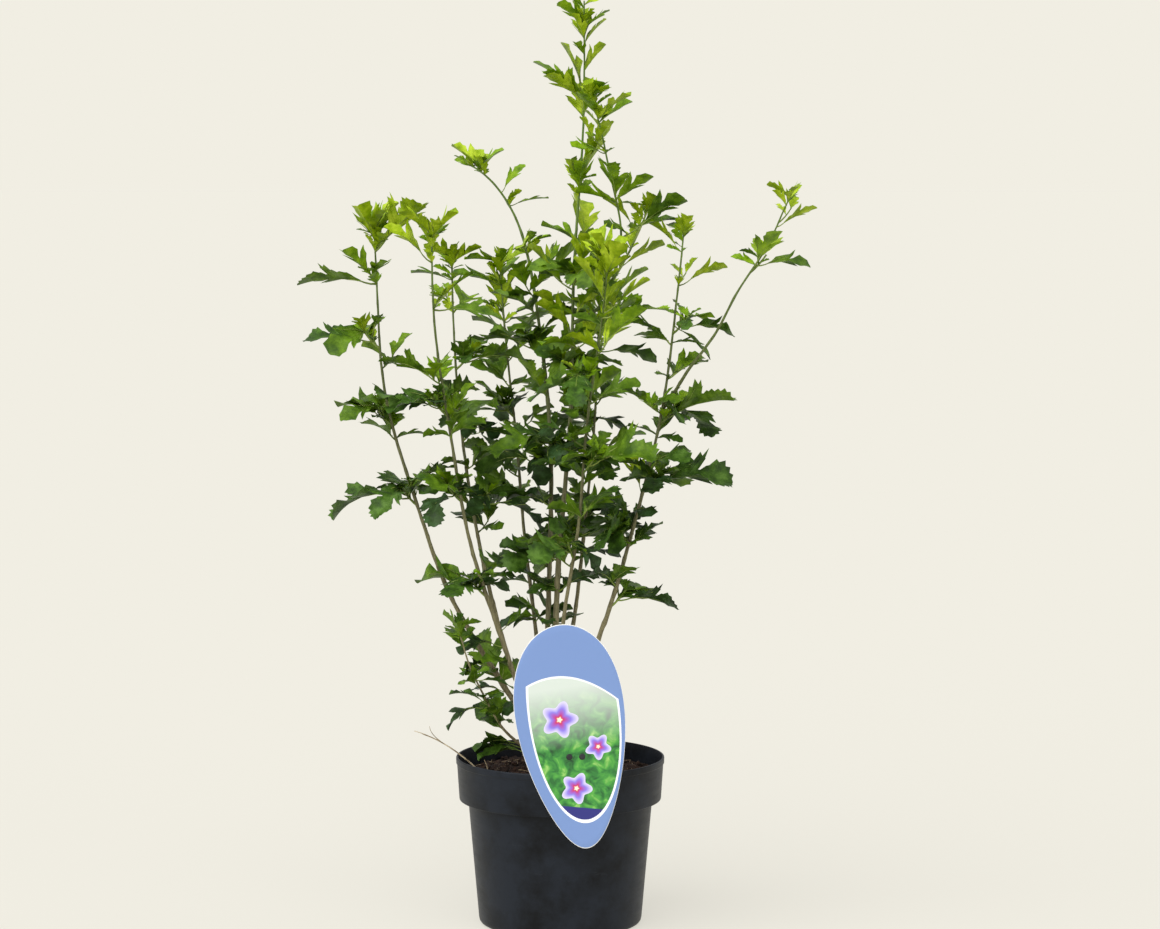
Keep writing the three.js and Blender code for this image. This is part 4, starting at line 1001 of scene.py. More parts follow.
def isClear(shape, mass):
    # whether a leaf keeps to its own shoot's space; one that does joins the leaves so far
    room = mass["room"]
    probes = leafProbes(shape, room["spacing"])
    if probes[:, 2].min() < room["potTop"]:
        return False
    outside = np.maximum(np.maximum(labelLow - probes, probes - labelHigh), 0)
    if np.linalg.norm(outside, axis=1).min() < room["leaves"]:
        return False
    past = room.get("pastBox", np.inf)
    if ((probes < reachLow - past) | (probes > reachHigh + past)).any():
        return False
    centre = bladeAt(shape, [0.5], [0.0])[0]
    reach = shape["blade"] * probe["reach"]
    distance = limbRadii + room["limbs"]
    near = np.linalg.norm(limbPoints - centre, axis=1) < reach + distance
    near &= limbOwners != ownerNumber(mass["name"])
    own = near & (limbOwners == ownerNumber(mass["limb"]))
    for chosen, skipped in ((near & ~own, 0), (own, spared["limb"])):
        outer = probes[int(len(probes) * skipped):]
        if chosen.any() and (nearest(outer, limbPoints[chosen]) < distance[chosen] ** 2).any():
            return False
    for own, skipped, distance in ((False, 0, room["leaves"]), (True, spared["shoot"], room["sameShoot"])):
        others = [other["probes"][int(len(other["probes"]) * skipped):] for other in leavesSoFar
                  if (other["owner"] == mass["name"]) == own
                  and np.linalg.norm(other["centre"] - centre) < other["reach"] + reach + distance]
        outer = probes[int(len(probes) * skipped):]
        if others and (nearest(outer, np.concatenate(others)) < distance ** 2).any():
            return False
    leavesSoFar.append({**shape, "owner": mass["name"], "centre": centre, "reach": reach, "probes": probes})
    return True


def placeLeaf(mass, root, blade, heading, pitch, young, draw, stalked=False):
    # a leaf from a point of a twig: an old leaf droops and lies level, a young one is folded and stands up
    chance = [draw() for _ in range(5)]
    size = blade * (1 + stance["size"] * (chance[0] - 0.5))
    petiole = leaf["petioleShare"] * size * (0.7 + 0.6 * chance[1]) if stalked else 0
    ownHeading = stance["heading"] * (chance[2] - 0.5)
    ownPitch = pitch + stance["pitch"] * (chance[3] - 0.5)
    age = droop["age"] + droop["ageSpread"] * chance[1]
    for attempt in range(retry["times"]):
        turn = (retry["turn"] if attempt % 2 == 0 else -retry["turn"]) * attempt
        ahead = direction(heading + turn + ownHeading, ownPitch)
        level = squareTo(ahead, np.array([0, 0, 1]) - stance["outward"] * direction(heading + turn, 0))
        roll = np.radians(stance["roll"] * (chance[4] - 0.5))
        flat = np.cross(level, ahead)
        side = flat * np.cos(roll) + np.cross(ahead, flat) * np.sin(roll)
        shape = {
            "root": root, "base": root + ahead * petiole, "ahead": ahead, "side": side,
            "up": np.cross(ahead, side), "blade": size, "young": young, "chance": chance,
            "droop": droop["least"] + (1 - young) * age + droop["spread"] * chance[4],
            "fold": fold["least"] + fold["youth"] * young * chance[0] + fold["spread"] * chance[3],
        }
        if isClear(shape, mass):
            return


def twigProbes(root, end):
    # points along a twig's line, a step apart
    count = int(np.ceil(np.linalg.norm(end - root) / probe["step"]))
    return root + (end - root) * (np.arange(count + 1) / count)[:, None]


def isTwigClear(root, end, mass):
    # whether a twig passes clear of what isn't its own shoot or limb
    probes, distance = twigProbes(root, end), mass["room"]["limbs"]
    others = (limbOwners != ownerNumber(mass["name"])) & (limbOwners != ownerNumber(mass["limb"]))
    if (nearest(probes, limbPoints[others]) < (limbRadii[others] + distance) ** 2).any():
        return False
    limit = (distance + twig["radius"]) ** 2
    return not any((nearest(probes, other["probes"]) < limit).any() for other in leavesSoFar
                   if other["owner"] != mass["name"]
                   and np.linalg.norm(other["centre"] - root) < other["reach"] + twigNear)


def addTwig(mass, root, end, radius):
    # a twig to be made later, which stands in the way of what comes after it
    twigsSoFar.append({"root": root, "end": end, "radius": radius})
    addObstacle(mass["name"], twigProbes(root, end), twig["radius"])


def placeTwig(mass, root, blade, heading, pitch, young, draw, reach=twig["reach"], leaves=twig["leaves"]):
    # a short side twig with a fan of small leaves at its end
    length = reach * (twig["least"] + twig["spread"] * draw())
    end = root + direction(heading, pitch) * length
    if not isTwigClear(root, end, mass):
        return
    addTwig(mass, root, end, twig["radius"] * shoot["thinner"])
    for i in range(leaves):
        inside = root + (end - root) * (twigFan["from"] - twigFan["step"] * i)
        spread = 0 if i == 0 else (-1 if i % 2 == 0 else 1) * (twigFan["turn"] + twigFan["widen"] * i)
        placeLeaf(mass, inside, blade * (1 - twigFan["shorter"] * i), heading + spread,
                  pitch + twigFan["lift"] - twigFan["drop"] * i, young, draw)


def growAlong(mass, stemAt, stemLength, plan, draw):
    # the nodes of a stem, and the rosette of young leaves at its end
    spaces = max(1, int(stemLength / node["spacing"] + 0.5))
    for i in range(spaces):
        share = (i + node["first"]) / spaces
        heading = plan["heading"] + goldenAngle * i
        young = min(1, plan["young"] + node["youth"] * share)
        blade = plan["blade"] * (1 - node["shorter"] * share)
        pitch = node["pitch"] + node["lift"] * young * share
        placeLeaf(mass, stemAt(share), blade, heading, pitch, young, draw, True)
        place, small = (placeTwig, axilTwig) if i % node["twigEvery"] == 0 else (placeLeaf, axilLeaf)
        above = stemAt(share + axil["rise"] / stemLength)
        place(mass, above, blade * small["blade"], heading + small["turn"], small["pitch"],
              min(1, young + axil["youth"]), draw)
    for i in range(rosette["leaves"]):
        root = stemAt(rosette["from"] - rosette["step"] * i)
        blade = plan["blade"] * (rosette["blade"] - rosette["shorter"] * i)
        heading = plan["heading"] + goldenAngle * (i + 1)
        placeLeaf(mass, root, blade, heading, rosette["pitch"] + rosette["lift"] * i, 1, draw)


def growTip(name, limb, seed):
    # the leafy tip of a limb: its stem carries the limb's curve on from where the bare limb ends
    start = limb["endFrom"] + gap / limb["length"]
    stemLength = np.linalg.norm(curvePoint(limb, start) - limb["tip"])
    growAlong(newMass(name, limb["name"]), lambda share: curvePoint(limb, start + (1 - start) * share),
              stemLength, limb["end"], seeded(seed))


def youthAt(height):
    # how young a side shoot is, by its height
    return max(0, (height - shoot["oldBelow"]) / shoot["youthSpan"])


def growSpray(name, limb, plan, seed):
    # a side shoot: a twig from the limb's axis with its longest leaf in front, smaller ones beside it and a
    # side twig, or the nodes of a leafy stem where it has a reach
    mass, draw = newMass(name, limb["name"]), seeded(seed)
    place = reachesHeight(limb, plan["z"])
    root, radius, reach = curvePoint(limb, place), girthAt(limb, place), plan.get("reach", twig["reach"])
    out = direction(plan["heading"], shoot["stemPitch"] if "reach" in plan else shoot["pitch"])

    def at(share):  # a point of the twig, by the share of its reach past the limb's skin
        return root + out * (radius + reach * share)

    addTwig(mass, root, at(1), twig["radius"] * shoot["thicker"])
    if "reach" in plan:
        growAlong(mass, at, reach, {**plan, "young": 1}, draw)
        return
    young = min(1, youthAt(plan["z"]))
    blade, heading, pitch = plan["blade"], plan["heading"], plan["pitch"]
    placeLeaf(mass, at(mainLeaf["at"]), blade, heading, pitch + mainLeaf["lift"], young, draw, True)
    placeTwig(mass, at(sideTwig["at"]), blade * sideTwig["blade"], heading + sideTwig["turn"],
              sideTwig["pitch"], young + sideTwig["youth"], draw)
    for i in range(plan["leaves"] - 1 - twig["leaves"]):
        spread = (1 if i % 2 == 0 else -1) * (shootFan["turn"] + shootFan["widen"] * i)
        small = blade * (shootFan["blade"] - shootFan["shorter"] * i)
        placeLeaf(mass, at(shootFan["from"] - shootFan["step"] * i), small, heading + spread,
                  shootFan["pitch"] + shootFan["lift"] * i, young, draw)


masses = []
for name, limb in limbs.items():
    for owner, start, end in ((name, 0, limb["endFrom"]), (f"tip_{limb['plain']}", limb["endFrom"], 1)):
        addObstacle(owner, *stretch(limb, start, end, probe["step"]))
for i, limb in enumerate(limbs.values()):
    masses.append(f"tip_{limb['plain']}")
    growTip(masses[-1], limb, tipSeed["first"] + tipSeed["step"] * i)
for i, limb in enumerate(limbs.values()):
    for j, plan in enumerate(limb["sprays"]):
        masses.append(f"spray_{limb['plain']}_{j + 1}")
        seed = shootSeed["first"] + shootSeed["limbStep"] * i + shootSeed["step"] * j
        growSpray(masses[-1], limb, plan, seed)
print(f"{len(leavesSoFar)} main leaves grown")

# The finer growth: small leaves in the axils of the main ones, fuller rosettes at the tips, and tufts of
# small leaves at the nodes of the canes between the shoots, lower down on the canes at the left and fuller
# in the middle. The leader carries its leaves in clusters with bare stretches of stem between them.
finer = {"from": 22, "blade": 0.48, "spread": 0.6, "turn": 75, "pitch": 38, "youth": (0.2, 0.3)}
rosettes = {"leaves": 1, "innerLeaves": 5, "from": 0.99, "step": 0.02, "blade": 0.66, "pitch": 52}
clusters = {"leaves": 5, "pitch": 56, "step": 0.006, "young": 0.95}
tuft = {
    "from": 310, "lowFrom": 186, "lowTop": 270, "aboveGap": 400, "top": 620, "margin": 4, "shift": 0.6,
    "spacing": 31, "blade": 42, "spread": 0.5, "reach": 17, "pitch": 34, "leaves": 3, "youth": 0.35,
}
innerTuft = {"from": 330, "spacing": 34, "blade": 41, "reach": 20}
upperTuft = {"from": 505, "spacing": 14, "blade": 44, "reach": 28, "leaves": 3, "top": 668}
upperEnds = {"cane_tall": 628, "branch_tall": 672}
footTuft = {"from": 268, "spacing": 25, "blade": 40, "reach": 16, "leaves": 3, "top": 330}
lowCanes = ("cane_far_left", "cane_left_front", "shoot_low")
innerLimbs = ("cane_back_left", "cane_tall", "branch_tall", "cane_back", "cane_front", "cane_rear")
footCanes = ("cane_tall", "cane_back_left", "cane_rear")
tuftless = ("branch_far_right",)
# the first seed of each kind of finer growth, and the step to the next one
finerSeeds = {
    "axil": (5003, 13), "single": (6007, 23), "rosette": (7001, 41), "cluster": (8009, 19),
    "tuft": (9001, 211), "upperTuft": (9103, 211), "footTuft": (9205, 211), "lowTuft": (9307, 211),
}
# leaves of their own on a limb: the height, the heading and pitch, the blade and how young it is
singles = [
    ("branch_far_right", [(600, -70, 58, 48, 1), (606, 20, 30, 40, 0.9)]),
    ("cane_back_left", [(664, 10, 66, 32, 0.9), (652, 210, 50, 28, 0.9)]),
    ("cane_tall", [
        (750, 180, 48, 50, 1), (753, 150, 62, 46, 1), (747, 215, 40, 42, 1), (676, 5, 52, 54, 1),
    ]),
    ("cane_right", [(396, 30, 66, 40, 1), (548, 0, -20, 40, 0.85), (500, 20, 35, 38, 0.7)]),
    ("cane_far_left", [(392, 150, 52, 36, 0.9)]),
    ("shoot_low", [
        (158, 196, 8, 44, 0), (163, 165, 22, 40, 0), (168, 215, 4, 38, 0), (176, 150, 40, 34, 0.2),
        (188, 200, 30, 36, 0.2), (205, 170, 35, 34, 0.3), (222, 230, 20, 32, 0.2),
    ]),
    ("cane_far_left", [(196, 200, 10, 36, 0), (212, 170, 30, 34, 0.2), (236, 215, 15, 34, 0)]),
    ("cane_left_front", [
        (205, 240, 20, 36, 0.1), (232, 190, 30, 36, 0.2), (256, 160, 25, 38, 0), (270, 20, 30, 34, 0.2),
    ]),
]
leader = {"bare": [(655, 670), (684, 742), (757, 806)], "clusters": [(676, 44), (748, 44), (815, 34)]}
bareTips = ("tip_tall", "tip_branch_far_right")  # their nodes have no small leaves


def seedOf(kind, number):
    # the seed of one member of a kind of finer growth
    return finerSeeds[kind][0] + finerSeeds[kind][1] * number


def onLimb(limb, height):
    # the point of a limb at a height
    return curvePoint(limb, reachesHeight(limb, height))


def growAxilLeaves():
    # two small leaves beside the stalk of every larger one
    for number, shape in enumerate(list(leavesSoFar)):
        if shape["blade"] < finer["from"] or shape["owner"] in bareTips:
            continue
        draw = seeded(seedOf("axil", number))
        mass = newMass(shape["owner"], "", fine)
        heading = np.degrees(np.arctan2(shape["ahead"][1], shape["ahead"][0]))
        for side in (-1, 1):
            blade = shape["blade"] * finer["blade"] * (1 + finer["spread"] * (draw() - 0.5))
            young = min(1, shape["young"] + finer["youth"][0] + finer["youth"][1] * draw())
            placeLeaf(mass, shape["root"], blade, heading + side * finer["turn"], finer["pitch"], young, draw)


def growRosettes():
    # leaves that stand up close under each limb's tip, turned by the golden angle
    for name, limb in limbs.items():
        draw = seeded(seedOf("rosette", limb["order"]))
        mass = newMass(f"tip_{limb['plain']}", name, fine)
        for i in range(rosettes["innerLeaves" if name in innerLimbs else "leaves"]):
            root = curvePoint(limb, rosettes["from"] - rosettes["step"] * i)
            blade = limb["end"]["blade"] * rosettes["blade"] * (1 + finer["spread"] * (draw() - 0.5))
            placeLeaf(mass, root, blade, goldenAngle * (i + limb["order"]), rosettes["pitch"], 1, draw)


def growClusters(limb):
    # leaves in a short spiral down from each cluster's height
    mass = newMass(f"tip_{limb['plain']}", limb["name"], fine)
    for number, (height, longest) in enumerate(leader["clusters"]):
        draw = seeded(seedOf("cluster", number))
        place = reachesHeight(limb, height)
        for i in range(clusters["leaves"]):
            blade = longest * (1 - finer["spread"] * draw())
            root = curvePoint(limb, place - clusters["step"] * i)
            heading = goldenAngle * (i + 2 * number)
            placeLeaf(mass, root, blade, heading, clusters["pitch"], clusters["young"], draw)


def growSingles():
    # a stalked leaf at each height in the table
    rows = [(name, *row) for name, group in singles for row in group]
    for number, (name, height, heading, pitch, blade, young) in enumerate(rows):
        mass = newMass(f"single_{number}", name, fine)
        draw = seeded(seedOf("single", number))
        placeLeaf(mass, onLimb(limbs[name], height), blade, heading, pitch, young, draw, True)


def growTufts(limb, kind, **changes):
    # twigs with small leaves up a limb, a spacing apart and each shifted up by chance
    plan = {**tuft, **changes}
    draw = seeded(seedOf(kind, limb["order"]))
    for i in range(max(0, int((plan["top"] - plan["from"]) / plan["spacing"]))):
        height = plan["from"] + plan["spacing"] * (i + plan["shift"] * draw())
        if height > limb["tip"][2] - plan["margin"] or height < limb["foot"][2] + plan["margin"]:
            continue
        young = min(1, youthAt(height) + plan["youth"] * draw())
        mass = newMass(f"{kind}_{limb['plain']}_{i}", limb["name"], fine)
        blade = plan["blade"] * (1 + plan["spread"] * (draw() - 0.5))
        placeTwig(mass, onLimb(limb, height), blade, goldenAngle * (i + limb["order"]), plan["pitch"], young,
                  draw, reach=plan["reach"], leaves=plan["leaves"])


def growAllTufts():
    # on each limb the kinds of tufts that its place in the crown asks for
    for name, limb in limbs.items():
        if name in tuftless:
            continue
        changes = {"top": min(limb["top"], tuft["top"]), **(innerTuft if name in innerLimbs else {})}
        if name in lowCanes:
            growTufts(limb, "lowTuft", **{"from": tuft["lowFrom"], "top": tuft["lowTop"]})
            changes["from"] = tuft["aboveGap"]
        growTufts(limb, "tuft", **changes)
        if name in innerLimbs:
            growTufts(limb, "upperTuft", **{**upperTuft, "top": upperEnds.get(name, upperTuft["top"])})
        if name in footCanes:
            growTufts(limb, "footTuft", **footTuft)


leavesSoFar[:] = [shape for shape in leavesSoFar if shape["owner"] != "tip_tall"
                  or not any(low < shape["root"][2] < high for low, high in leader["bare"])]
growAxilLeaves()
growRosettes()
growClusters(limbs["cane_tall"])
growSingles()
growAllTufts()
print(f"{len(leavesSoFar)} leaves in all")

# A blade's outline, half of it: a rim point along and out, and where its row leaves the midrib. A grown leaf
# has a short wedge at its foot, a forward side lobe, a notch and a middle lobe; a small one hardly has
# lobes, and a young one is cut deeply. Teeth come after.
lobed = np.array([
    (0, 0.012, 0), (0.09, 0.05, 0.06), (0.19, 0.125, 0.13), (0.3, 0.19, 0.19), (0.42, 0.25, 0.25),
    (0.53, 0.285, 0.29), (0.61, 0.275, 0.32), (0.59, 0.2, 0.36), (0.5, 0.1, 0.42), (0.6, 0.13, 0.53),
    (0.71, 0.175, 0.63), (0.82, 0.19, 0.73), (0.91, 0.17, 0.82), (0.975, 0.11, 0.91), (1, 0.03, 1),
])
wedge = np.array([
    (0, 0.012, 0), (0.1, 0.045, 0.07), (0.2, 0.1, 0.14), (0.31, 0.155, 0.22), (0.42, 0.2, 0.3),
    (0.52, 0.225, 0.37), (0.6, 0.21, 0.42), (0.62, 0.165, 0.47), (0.6, 0.13, 0.53), (0.68, 0.155, 0.6),
    (0.76, 0.175, 0.68), (0.85, 0.175, 0.76), (0.92, 0.145, 0.84), (0.975, 0.095, 0.92), (1, 0.03, 1),
])
parted = np.array([
    (0, 0.01, 0), (0.11, 0.028, 0.08), (0.22, 0.065, 0.15), (0.35, 0.13, 0.2), (0.48, 0.2, 0.24),
    (0.61, 0.265, 0.27), (0.69, 0.265, 0.3), (0.63, 0.19, 0.33), (0.45, 0.065, 0.4), (0.55, 0.09, 0.5),
    (0.67, 0.135, 0.61), (0.79, 0.17, 0.72), (0.89, 0.165, 0.82), (0.965, 0.115, 0.91), (1, 0.03, 1),
])
lobeTip = 6  # the place in these outlines of the side lobe's tip, which has to be a tooth
tooth = {"from": 0.12, "to": 0.98, "out": 0.1, "forward": 0.012, "spread": 0.5, "turn": 40, "step": 2.4}
# from and up to which length of blade, its rows along and its columns across
leafGrids = [(47, np.inf, 29, [-1, -0.5, 0, 0.5, 1]), (0, 47, 15, [-1, 0, 1])]
# lobes come with size and cuts with youth, and both with chance: a start and a span, and a share and its
# spread
lobing = {"start": 10, "span": 26, "least": 0.3, "share": 0.75, "spread": 0.35}
cutting = {"start": 0.3, "span": 0.7, "share": 0.45, "spread": 0.55}
waves = {
    "high": 0.14, "agedHigh": 0.24, "count": 1.9, "phase": 6.28, "halves": 1.3, "curl": 1.9, "uncurled": 0.3,
}
twisting = {"young": 0.4, "aged": 1.1}
stalk = {"places": [0, 0.35, 0.7], "inTwig": [0.9, 0.6, 0.3], "bow": 0.1}
midrib = {"along": [0.01, 0.2, 0.42, 0.66], "under": -0.008}
stalkRadius = [1.15, 0.85, 0.75, 0.7, 0.5, 0.36, 0.16]  # along the stalk and on along the midrib
sturdy = {"length": 55, "least": 0.35}
woody = {"points": 5, "sag": 0.06, "thinned": 0.72, "sides": 6}
vein = {
    "along": [0.06, 0.2, 0.34, 0.48], "across": [0.006, 0.07, 0.145, 0.215],
    "radius": [0.6, 0.5, 0.36, 0.16], "from": 24,
}
# name: the least shade that it takes, then its darker, main and paler green
leafColours = {
    "leaves_dark": (-1.0, "#1a2a0e", "#2a4117", "#3b5830"),
    "leaves_old": (0.2, "#253b11", "#3a5816", "#527229"),
    "leaves_grown": (0.42, "#34500d", "#4e6c11", "#65851e"),
    "leaves_fresh": (0.7, "#4c6a08", "#698c08", "#84a51a"),
    "leaves_young": (0.98, "#6c860a", "#8ca610", "#abc02c"),
}
# how a leaf's green is chosen: by its youth and a chance, and darker towards the bottom by a scale and a cap
# on youth, both by height
shading = {
    "youth": 0.75, "chance": 0.5, "height": ([150, 420, 560], [0.82, 1.03, 1.05]),
    "darkerBelow": ([260, 370], [0.35, 1]),
}


def stack(shapes, key):
    # one value of every shape, as an array
    return np.array([shape[key] for shape in shapes], float)


def leafArrays(shapes):
    # what bladeAt and the functions below need of many leaves, each as one array
    keys = ("base", "ahead", "side", "up", "blade", "droop", "fold", "young", "chance")
    return {key: stack(shapes, key) for key in keys}


def bladeRelief(arrays, along, across):
    # how far a blade stands off its plain fold: it waves up and down beside the midrib and curls with age
    chance, age = arrays["chance"], 1 - np.clip(arrays["young"], 0, 1)
    wave = (waves["high"] + waves["agedHigh"] * age * chance[:, 1])[:, None] * np.abs(across)
    phase = waves["phase"] * chance[:, 4, None] + waves["halves"] * np.sign(across)
    lift = wave * np.sin(2 * np.pi * waves["count"] * along + phase)
    return lift - (age * (chance[:, 0] - waves["uncurled"]) * waves["curl"])[:, None] * across ** 2


def bladeTwist(arrays):
    # the turn about its midrib that a blade makes from its foot to its tip, in radians
    age = 1 - np.clip(arrays["young"], 0, 1)
    return ((arrays["chance"][:, 2] - 0.5) * (twisting["young"] + twisting["aged"] * age))[:, None]


def breadth(arrays):
    # how wide each blade is for its outline, by a chance of its own
    return leaf["breadth"][0] + leaf["breadth"][1] * arrays["chance"][:, 3]


def sturdiness(arrays):
    # a share of the full radius of stalks and veins, by the blade's length
    return np.clip(arrays["blade"] / sturdy["length"], sturdy["least"], 1)[:, None]


def leafOutline(arrays, share):
    # the three outlines mixed by size and age, with teeth at every other row, as rows of out and along
    chance = arrays["chance"]
    weight = np.clip((arrays["blade"] - lobing["start"]) / lobing["span"], lobing["least"], 1)
    weight = weight * (lobing["share"] + lobing["spread"] * chance[:, 2])
    youth = np.clip(arrays["young"] - cutting["start"], 0, cutting["span"]) / cutting["span"]
    youth = youth * (cutting["share"] + cutting["spread"] * chance[:, 0])
    rims = np.stack([wedge, lobed, parted])
    even = np.linspace(0, 1, rims.shape[1])
    plain, cut, deep = (np.stack([np.interp(share, even, column) for column in rim.T], -1) for rim in rims)
    half = plain + weight[:, None, None] * (cut - plain + youth[:, None, None] * (deep - cut))
    here = np.arange(len(share))
    step = (len(share) - 1) // (len(lobed) - 1)
    teeth = np.where((here - lobeTip * step) % 2, -1, 1) * ((share > tooth["from"]) & (share < tooth["to"]))
    phase = tooth["turn"] * chance[:, 1, None] + tooth["step"] * here
    teeth = teeth * (1 + tooth["spread"] * np.sin(phase))
    half[:, :, 1] *= 1 + tooth["out"] * teeth
    half[:, :, 0] += tooth["forward"] * teeth
    return half


def leafMesh(shapes, rows, columns):
    # for each leaf a grid of rows along it and columns across it, whose rows run from the midrib out to the
    # rim, which stands above the sunk midrib; a keel under the midrib closes it
    arrays = leafArrays(shapes)
    count, wide = len(shapes), len(columns)
    half = leafOutline(arrays, np.linspace(0, 1, rows))
    out = np.abs(columns)
    along = half[:, :, 2, None] + (half[:, :, 0] - half[:, :, 2])[..., None] * out
    uneven = 1 + leaf["uneven"] * (arrays["chance"][:, 4] - 0.5)[:, None, None] * np.sign(columns)
    across = half[:, :, 1, None] * columns * uneven * breadth(arrays)[:, None, None]
    along, across = along.reshape(count, rows * wide), across.reshape(count, rows * wide)
    crown = leaf["crownRise"] * np.tile(np.where(out == 0, -1, np.where(out == 1, 0, 1)), rows)
    twist = bladeTwist(arrays)
    top = bladeAt(arrays, along, across, bladeRelief(arrays, along, across) + crown, twist)
    level = np.zeros((count, rows))
    under = bladeAt(arrays, half[:, :, 2], level, level - leaf["thickness"], twist)
    here = np.arange(rows)
    left, right, below = here * wide, here * wide + wide - 1, here + rows * wide
    leftUnder = np.stack([left[:-1], left[1:], below[1:], below[:-1]], -1)
    rightUnder = np.stack([below[:-1], below[1:], right[1:], right[:-1]], -1)
    caps = np.array([[*range(1, wide), below[0], 0], [below[-1], *range(right[-1], left[-1] - 1, -1)]])
    shift = np.arange(count)[:, None, None] * rows * (wide + 1)
    quads = np.concatenate([gridFaces(rows, wide), leftUnder, rightUnder])[:, ::-1]
    points = np.concatenate([top, under], 1).reshape(-1, 3)
    return points, [(shift + quads).reshape(-1, 4), (shift + caps).reshape(-1, wide + 1)]


def makeLeaves():
    # a leaf's colour goes by its age, its height and a chance. It is darker towards the bottom, where the
    # height scales it down and caps how young it looks, so that low down no leaf is pale. Each colour is one
    # piece, which replaces the masses in which it is the commonest
    height = stack(leavesSoFar, "root")[:, 2]
    young = np.minimum(stack(leavesSoFar, "young"), np.interp(height, *shading["darkerBelow"]))
    shade = shading["youth"] * young + shading["chance"] * stack(leavesSoFar, "chance")[:, 3]
    shade *= np.interp(height, *shading["height"])
    group = np.searchsorted([row[0] for row in leafColours.values()], shade, side="right") - 1
    ownersOf = np.array([shape["owner"] for shape in leavesSoFar])
    commonest = {mass: np.bincount(group[ownersOf == mass]).argmax() for mass in masses if mass in ownersOf}
    for number, (name, (_, *greens)) in enumerate(leafColours.items()):
        chosen = [shape for shape, own in zip(leavesSoFar, group) if own == number]
        parts = []
        for least, most, rows, columns in leafGrids:
            alike = [shape for shape in chosen if least <= shape["blade"] < most]
            if alike:
                parts.append(leafMesh(alike, rows, np.array(columns)))
        # living leaf: a satin skin with a waxy sheen, its green uneven in patches of 2 to 12 mm, and puckered
        # about every 4 mm between its veins
        material = mottledMaterial(
            name.replace("leaves", "leaf_blade"),
            {"IOR": 1.42, "Roughness": 0.46, "Specular IOR Level": 0.22},
            {"Scale": 85, "Detail": 4, "Roughness": 0.6}, list(zip((0.35, 0.5, 0.65), greens)),
            bump={"Strength": 0.6, "Distance": 0.001}, grain=("TexNoise", {"Scale": 250, "Detail": 2}))
        nodes = [mass for mass in masses if commonest.get(mass) == number]
        slot = "young_leaves" if name in ("leaves_fresh", "leaves_young") else "old_leaves"
        makePiece(name, *joinParts(parts), [material], slot, nodes, sharp=70)
        print(f"{name}: {len(chosen)} leaves")


def woodyTwigs():
    # each twig is a line from its root to its end that sags a little, and thins
    count = len(twigsSoFar)
    roots, ends = stack(twigsSoFar, "root"), stack(twigsSoFar, "end")
    t = np.linspace(0, 1, woody["points"])[None, :, None]
    run = np.linalg.norm(ends - roots, axis=1)[:, None, None]
    sag = np.array([0, 0, 1]) * woody["sag"] * run * 4 * t * (t - 1)
    paths = roots[:, None] + (ends - roots)[:, None] * t + sag
    radii = stack(twigsSoFar, "radius")[:, None] * np.linspace(1, woody["thinned"], woody["points"])
    return sweep(paths, radii, np.tile([[0.3, 1.0, 0.2]], (count, 1)), woody["sides"])


def stalksAndMidribs():
    # a stalk is an arc from the leaf's root to its blade's foot, and the midrib carries it on under the
    # blade; the leaf without a stalk has a short one that starts in its twig
    arrays = leafArrays(leavesSoFar)
    root = stack(leavesSoFar, "root")
    ribs = bladeAt(arrays, np.array([midrib["along"]]), np.zeros((1, 4)), np.full((1, 4), midrib["under"]))
    petiole = np.linalg.norm(arrays["base"] - root, axis=1)[:, None, None]
    t = np.array(stalk["places"])[None, :, None]
    bow = arrays["up"][:, None] * petiole * stalk["bow"] * 4 * t * (t - 1)
    paths = root[:, None] + (arrays["base"] - root)[:, None] * t * (petiole > 0) + bow
    short = petiole[:, 0, 0] == 0
    paths[short] = root[short, None] - arrays["ahead"][short, None] * np.array(stalk["inTwig"])[None, :, None]
    radii = sturdiness(arrays) * np.array(stalkRadius)
    return sweep(np.concatenate([paths, ribs], 1), radii, arrays["side"], woody["sides"])


def sideVeins(side):
    # the veins on one side, one to each lobe, lie in the blade and show on both faces
    arrays = leafArrays([shape for shape in leavesSoFar if shape["blade"] >= vein["from"]])
    count = len(arrays["blade"])
    along = np.tile(vein["along"], (count, 1))
    across = side * np.tile(vein["across"], (count, 1)) * breadth(arrays)[:, None]
    paths = bladeAt(arrays, along, across, bladeRelief(arrays, along, across), bladeTwist(arrays))
    return sweep(paths, sturdiness(arrays) * np.array(vein["radius"]), arrays["up"], 4)


def makeTwigs():
    # green wood of this year: satin, with paler and browner stretches
    material = mottledMaterial("green_twig", {"IOR": 1.45, "Roughness": 0.55}, {"Scale": 45, "Detail": 3},
                               [(0.3, "#4d5a20"), (0.5, "#6f8430"), (0.72, "#9aa656")])
    points, faceSets = joinParts([woodyTwigs(), stalksAndMidribs(), sideVeins(-1), sideVeins(1)])
    makePiece("twigs_and_petioles", points, faceSets, [material], "bark")


makeLeaves()
makeTwigs()
print("foliage made")


# Stage: a wide pale floor, soft light from all round, a large soft key light from the upper left and a weak
# fill from the right

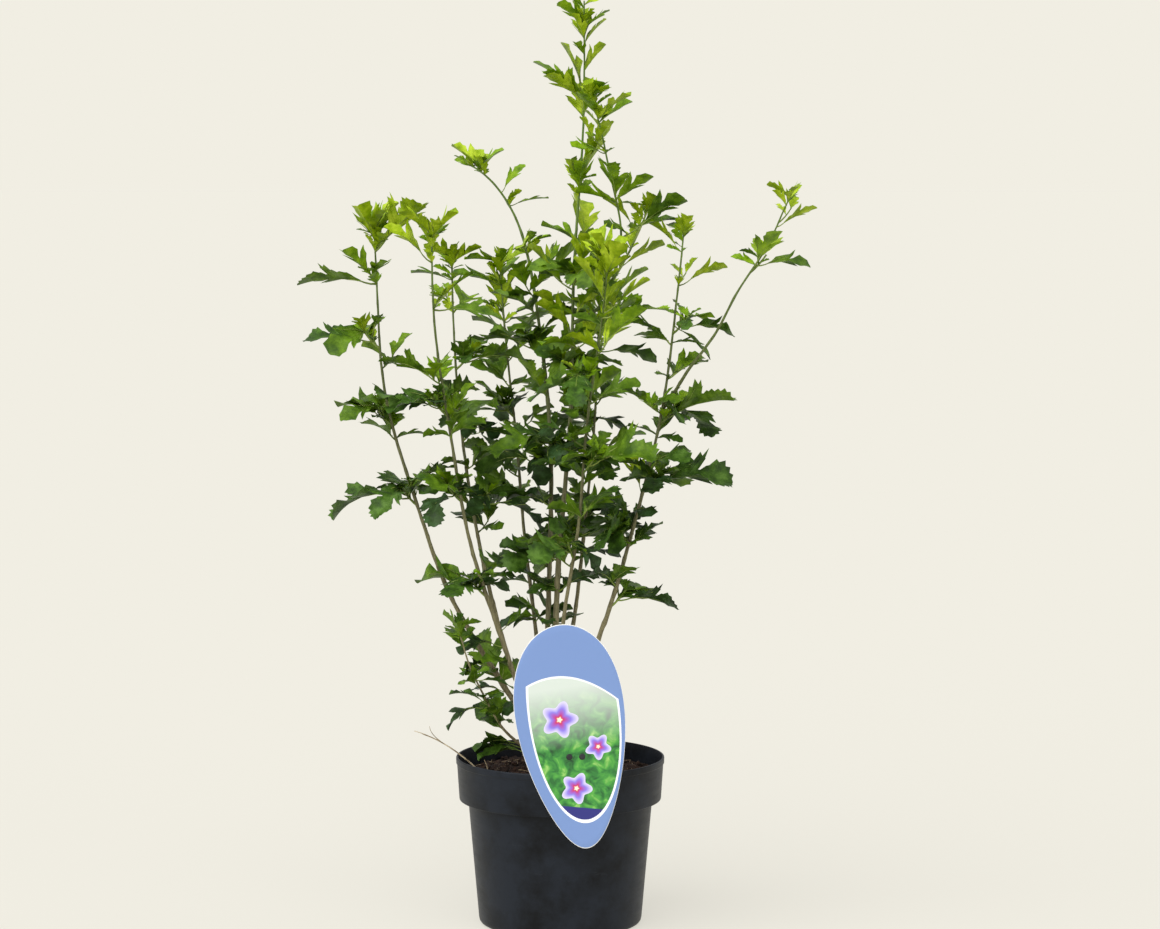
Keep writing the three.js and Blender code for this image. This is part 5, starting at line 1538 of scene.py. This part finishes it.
stage = {
    "cream": "#f1eee3", "skyLight": 0.68, "floorGlow": 0.65,
    "key": 3.1, "keyFrom": (-0.5, -0.72, 1.0), "keyAngle": 75,
    "fill": 0.3, "fillFrom": (0.8, -0.7, 0.45), "fillAngle": 34, "floorReach": 60,
}


def makeStage():
    # the backdrop and the light that comes from it, the two lamps and the floor
    world = bpy.data.worlds.new("studio")
    bpy.context.scene.world = world
    world.use_nodes = True
    tree = world.node_tree
    seen = tree.nodes["Background"]
    seen.inputs["Color"].default_value = toLinear(stage["cream"])
    lit = addNode(tree, "Background", {"Color": (1, 1, 1, 1), "Strength": stage["skyLight"]})
    cameraRay = addNode(tree, "LightPath").outputs["Is Camera Ray"]
    mix = addNode(tree, "MixShader", None, {0: cameraRay, 1: lit, 2: seen})
    link(tree, mix, tree.nodes["World Output"], "Surface")
    received = stage["skyLight"]
    for name, angle in (("key", stage["keyAngle"]), ("fill", stage["fillAngle"])):
        data = bpy.data.lights.new(name, "SUN")
        data.energy = stage[name]
        data.angle = np.radians(angle)
        lamp = bpy.data.objects.new(name, data)
        toLamp = unit(np.array(stage[f"{name}From"]))
        lamp.rotation_euler = Vector((-toLamp).tolist()).to_track_quat("-Z", "Y").to_euler()
        bpy.context.scene.collection.objects.link(lamp)
        received += stage[name] * toLamp[2] / np.pi
    # the floor's colour is the backdrop's divided by the light that it receives, so the horizon doesn't
    # show; a part of it is glow instead, so that the shadow is faint
    cream = np.array(toLinear(stage["cream"])[:3])
    floorColour = (1 - stage["floorGlow"]) * cream / received
    mesh = bpy.data.meshes.new("floor")
    reach = stage["floorReach"]
    corners = [(-reach, -reach, 0), (reach, -reach, 0), (reach, reach, 0), (-reach, reach, 0)]
    mesh.from_pydata(corners, [], [(0, 1, 2, 3)])
    floor = bpy.data.objects.new("floor", mesh)
    bpy.context.scene.collection.objects.link(floor)
    material, tree, shader = newMaterial("painted_floor", {"Roughness": 1.0, "Specular IOR Level": 0.0})
    shader.inputs["Base Color"].default_value = (*floorColour.tolist(), 1)
    shader.inputs["Emission Color"].default_value = (*cream.tolist(), 1)
    shader.inputs["Emission Strength"].default_value = stage["floorGlow"]
    mesh.materials.append(material)
    bpy.context.scene.view_settings.view_transform = "Standard"


makeStage()
print("stage set")
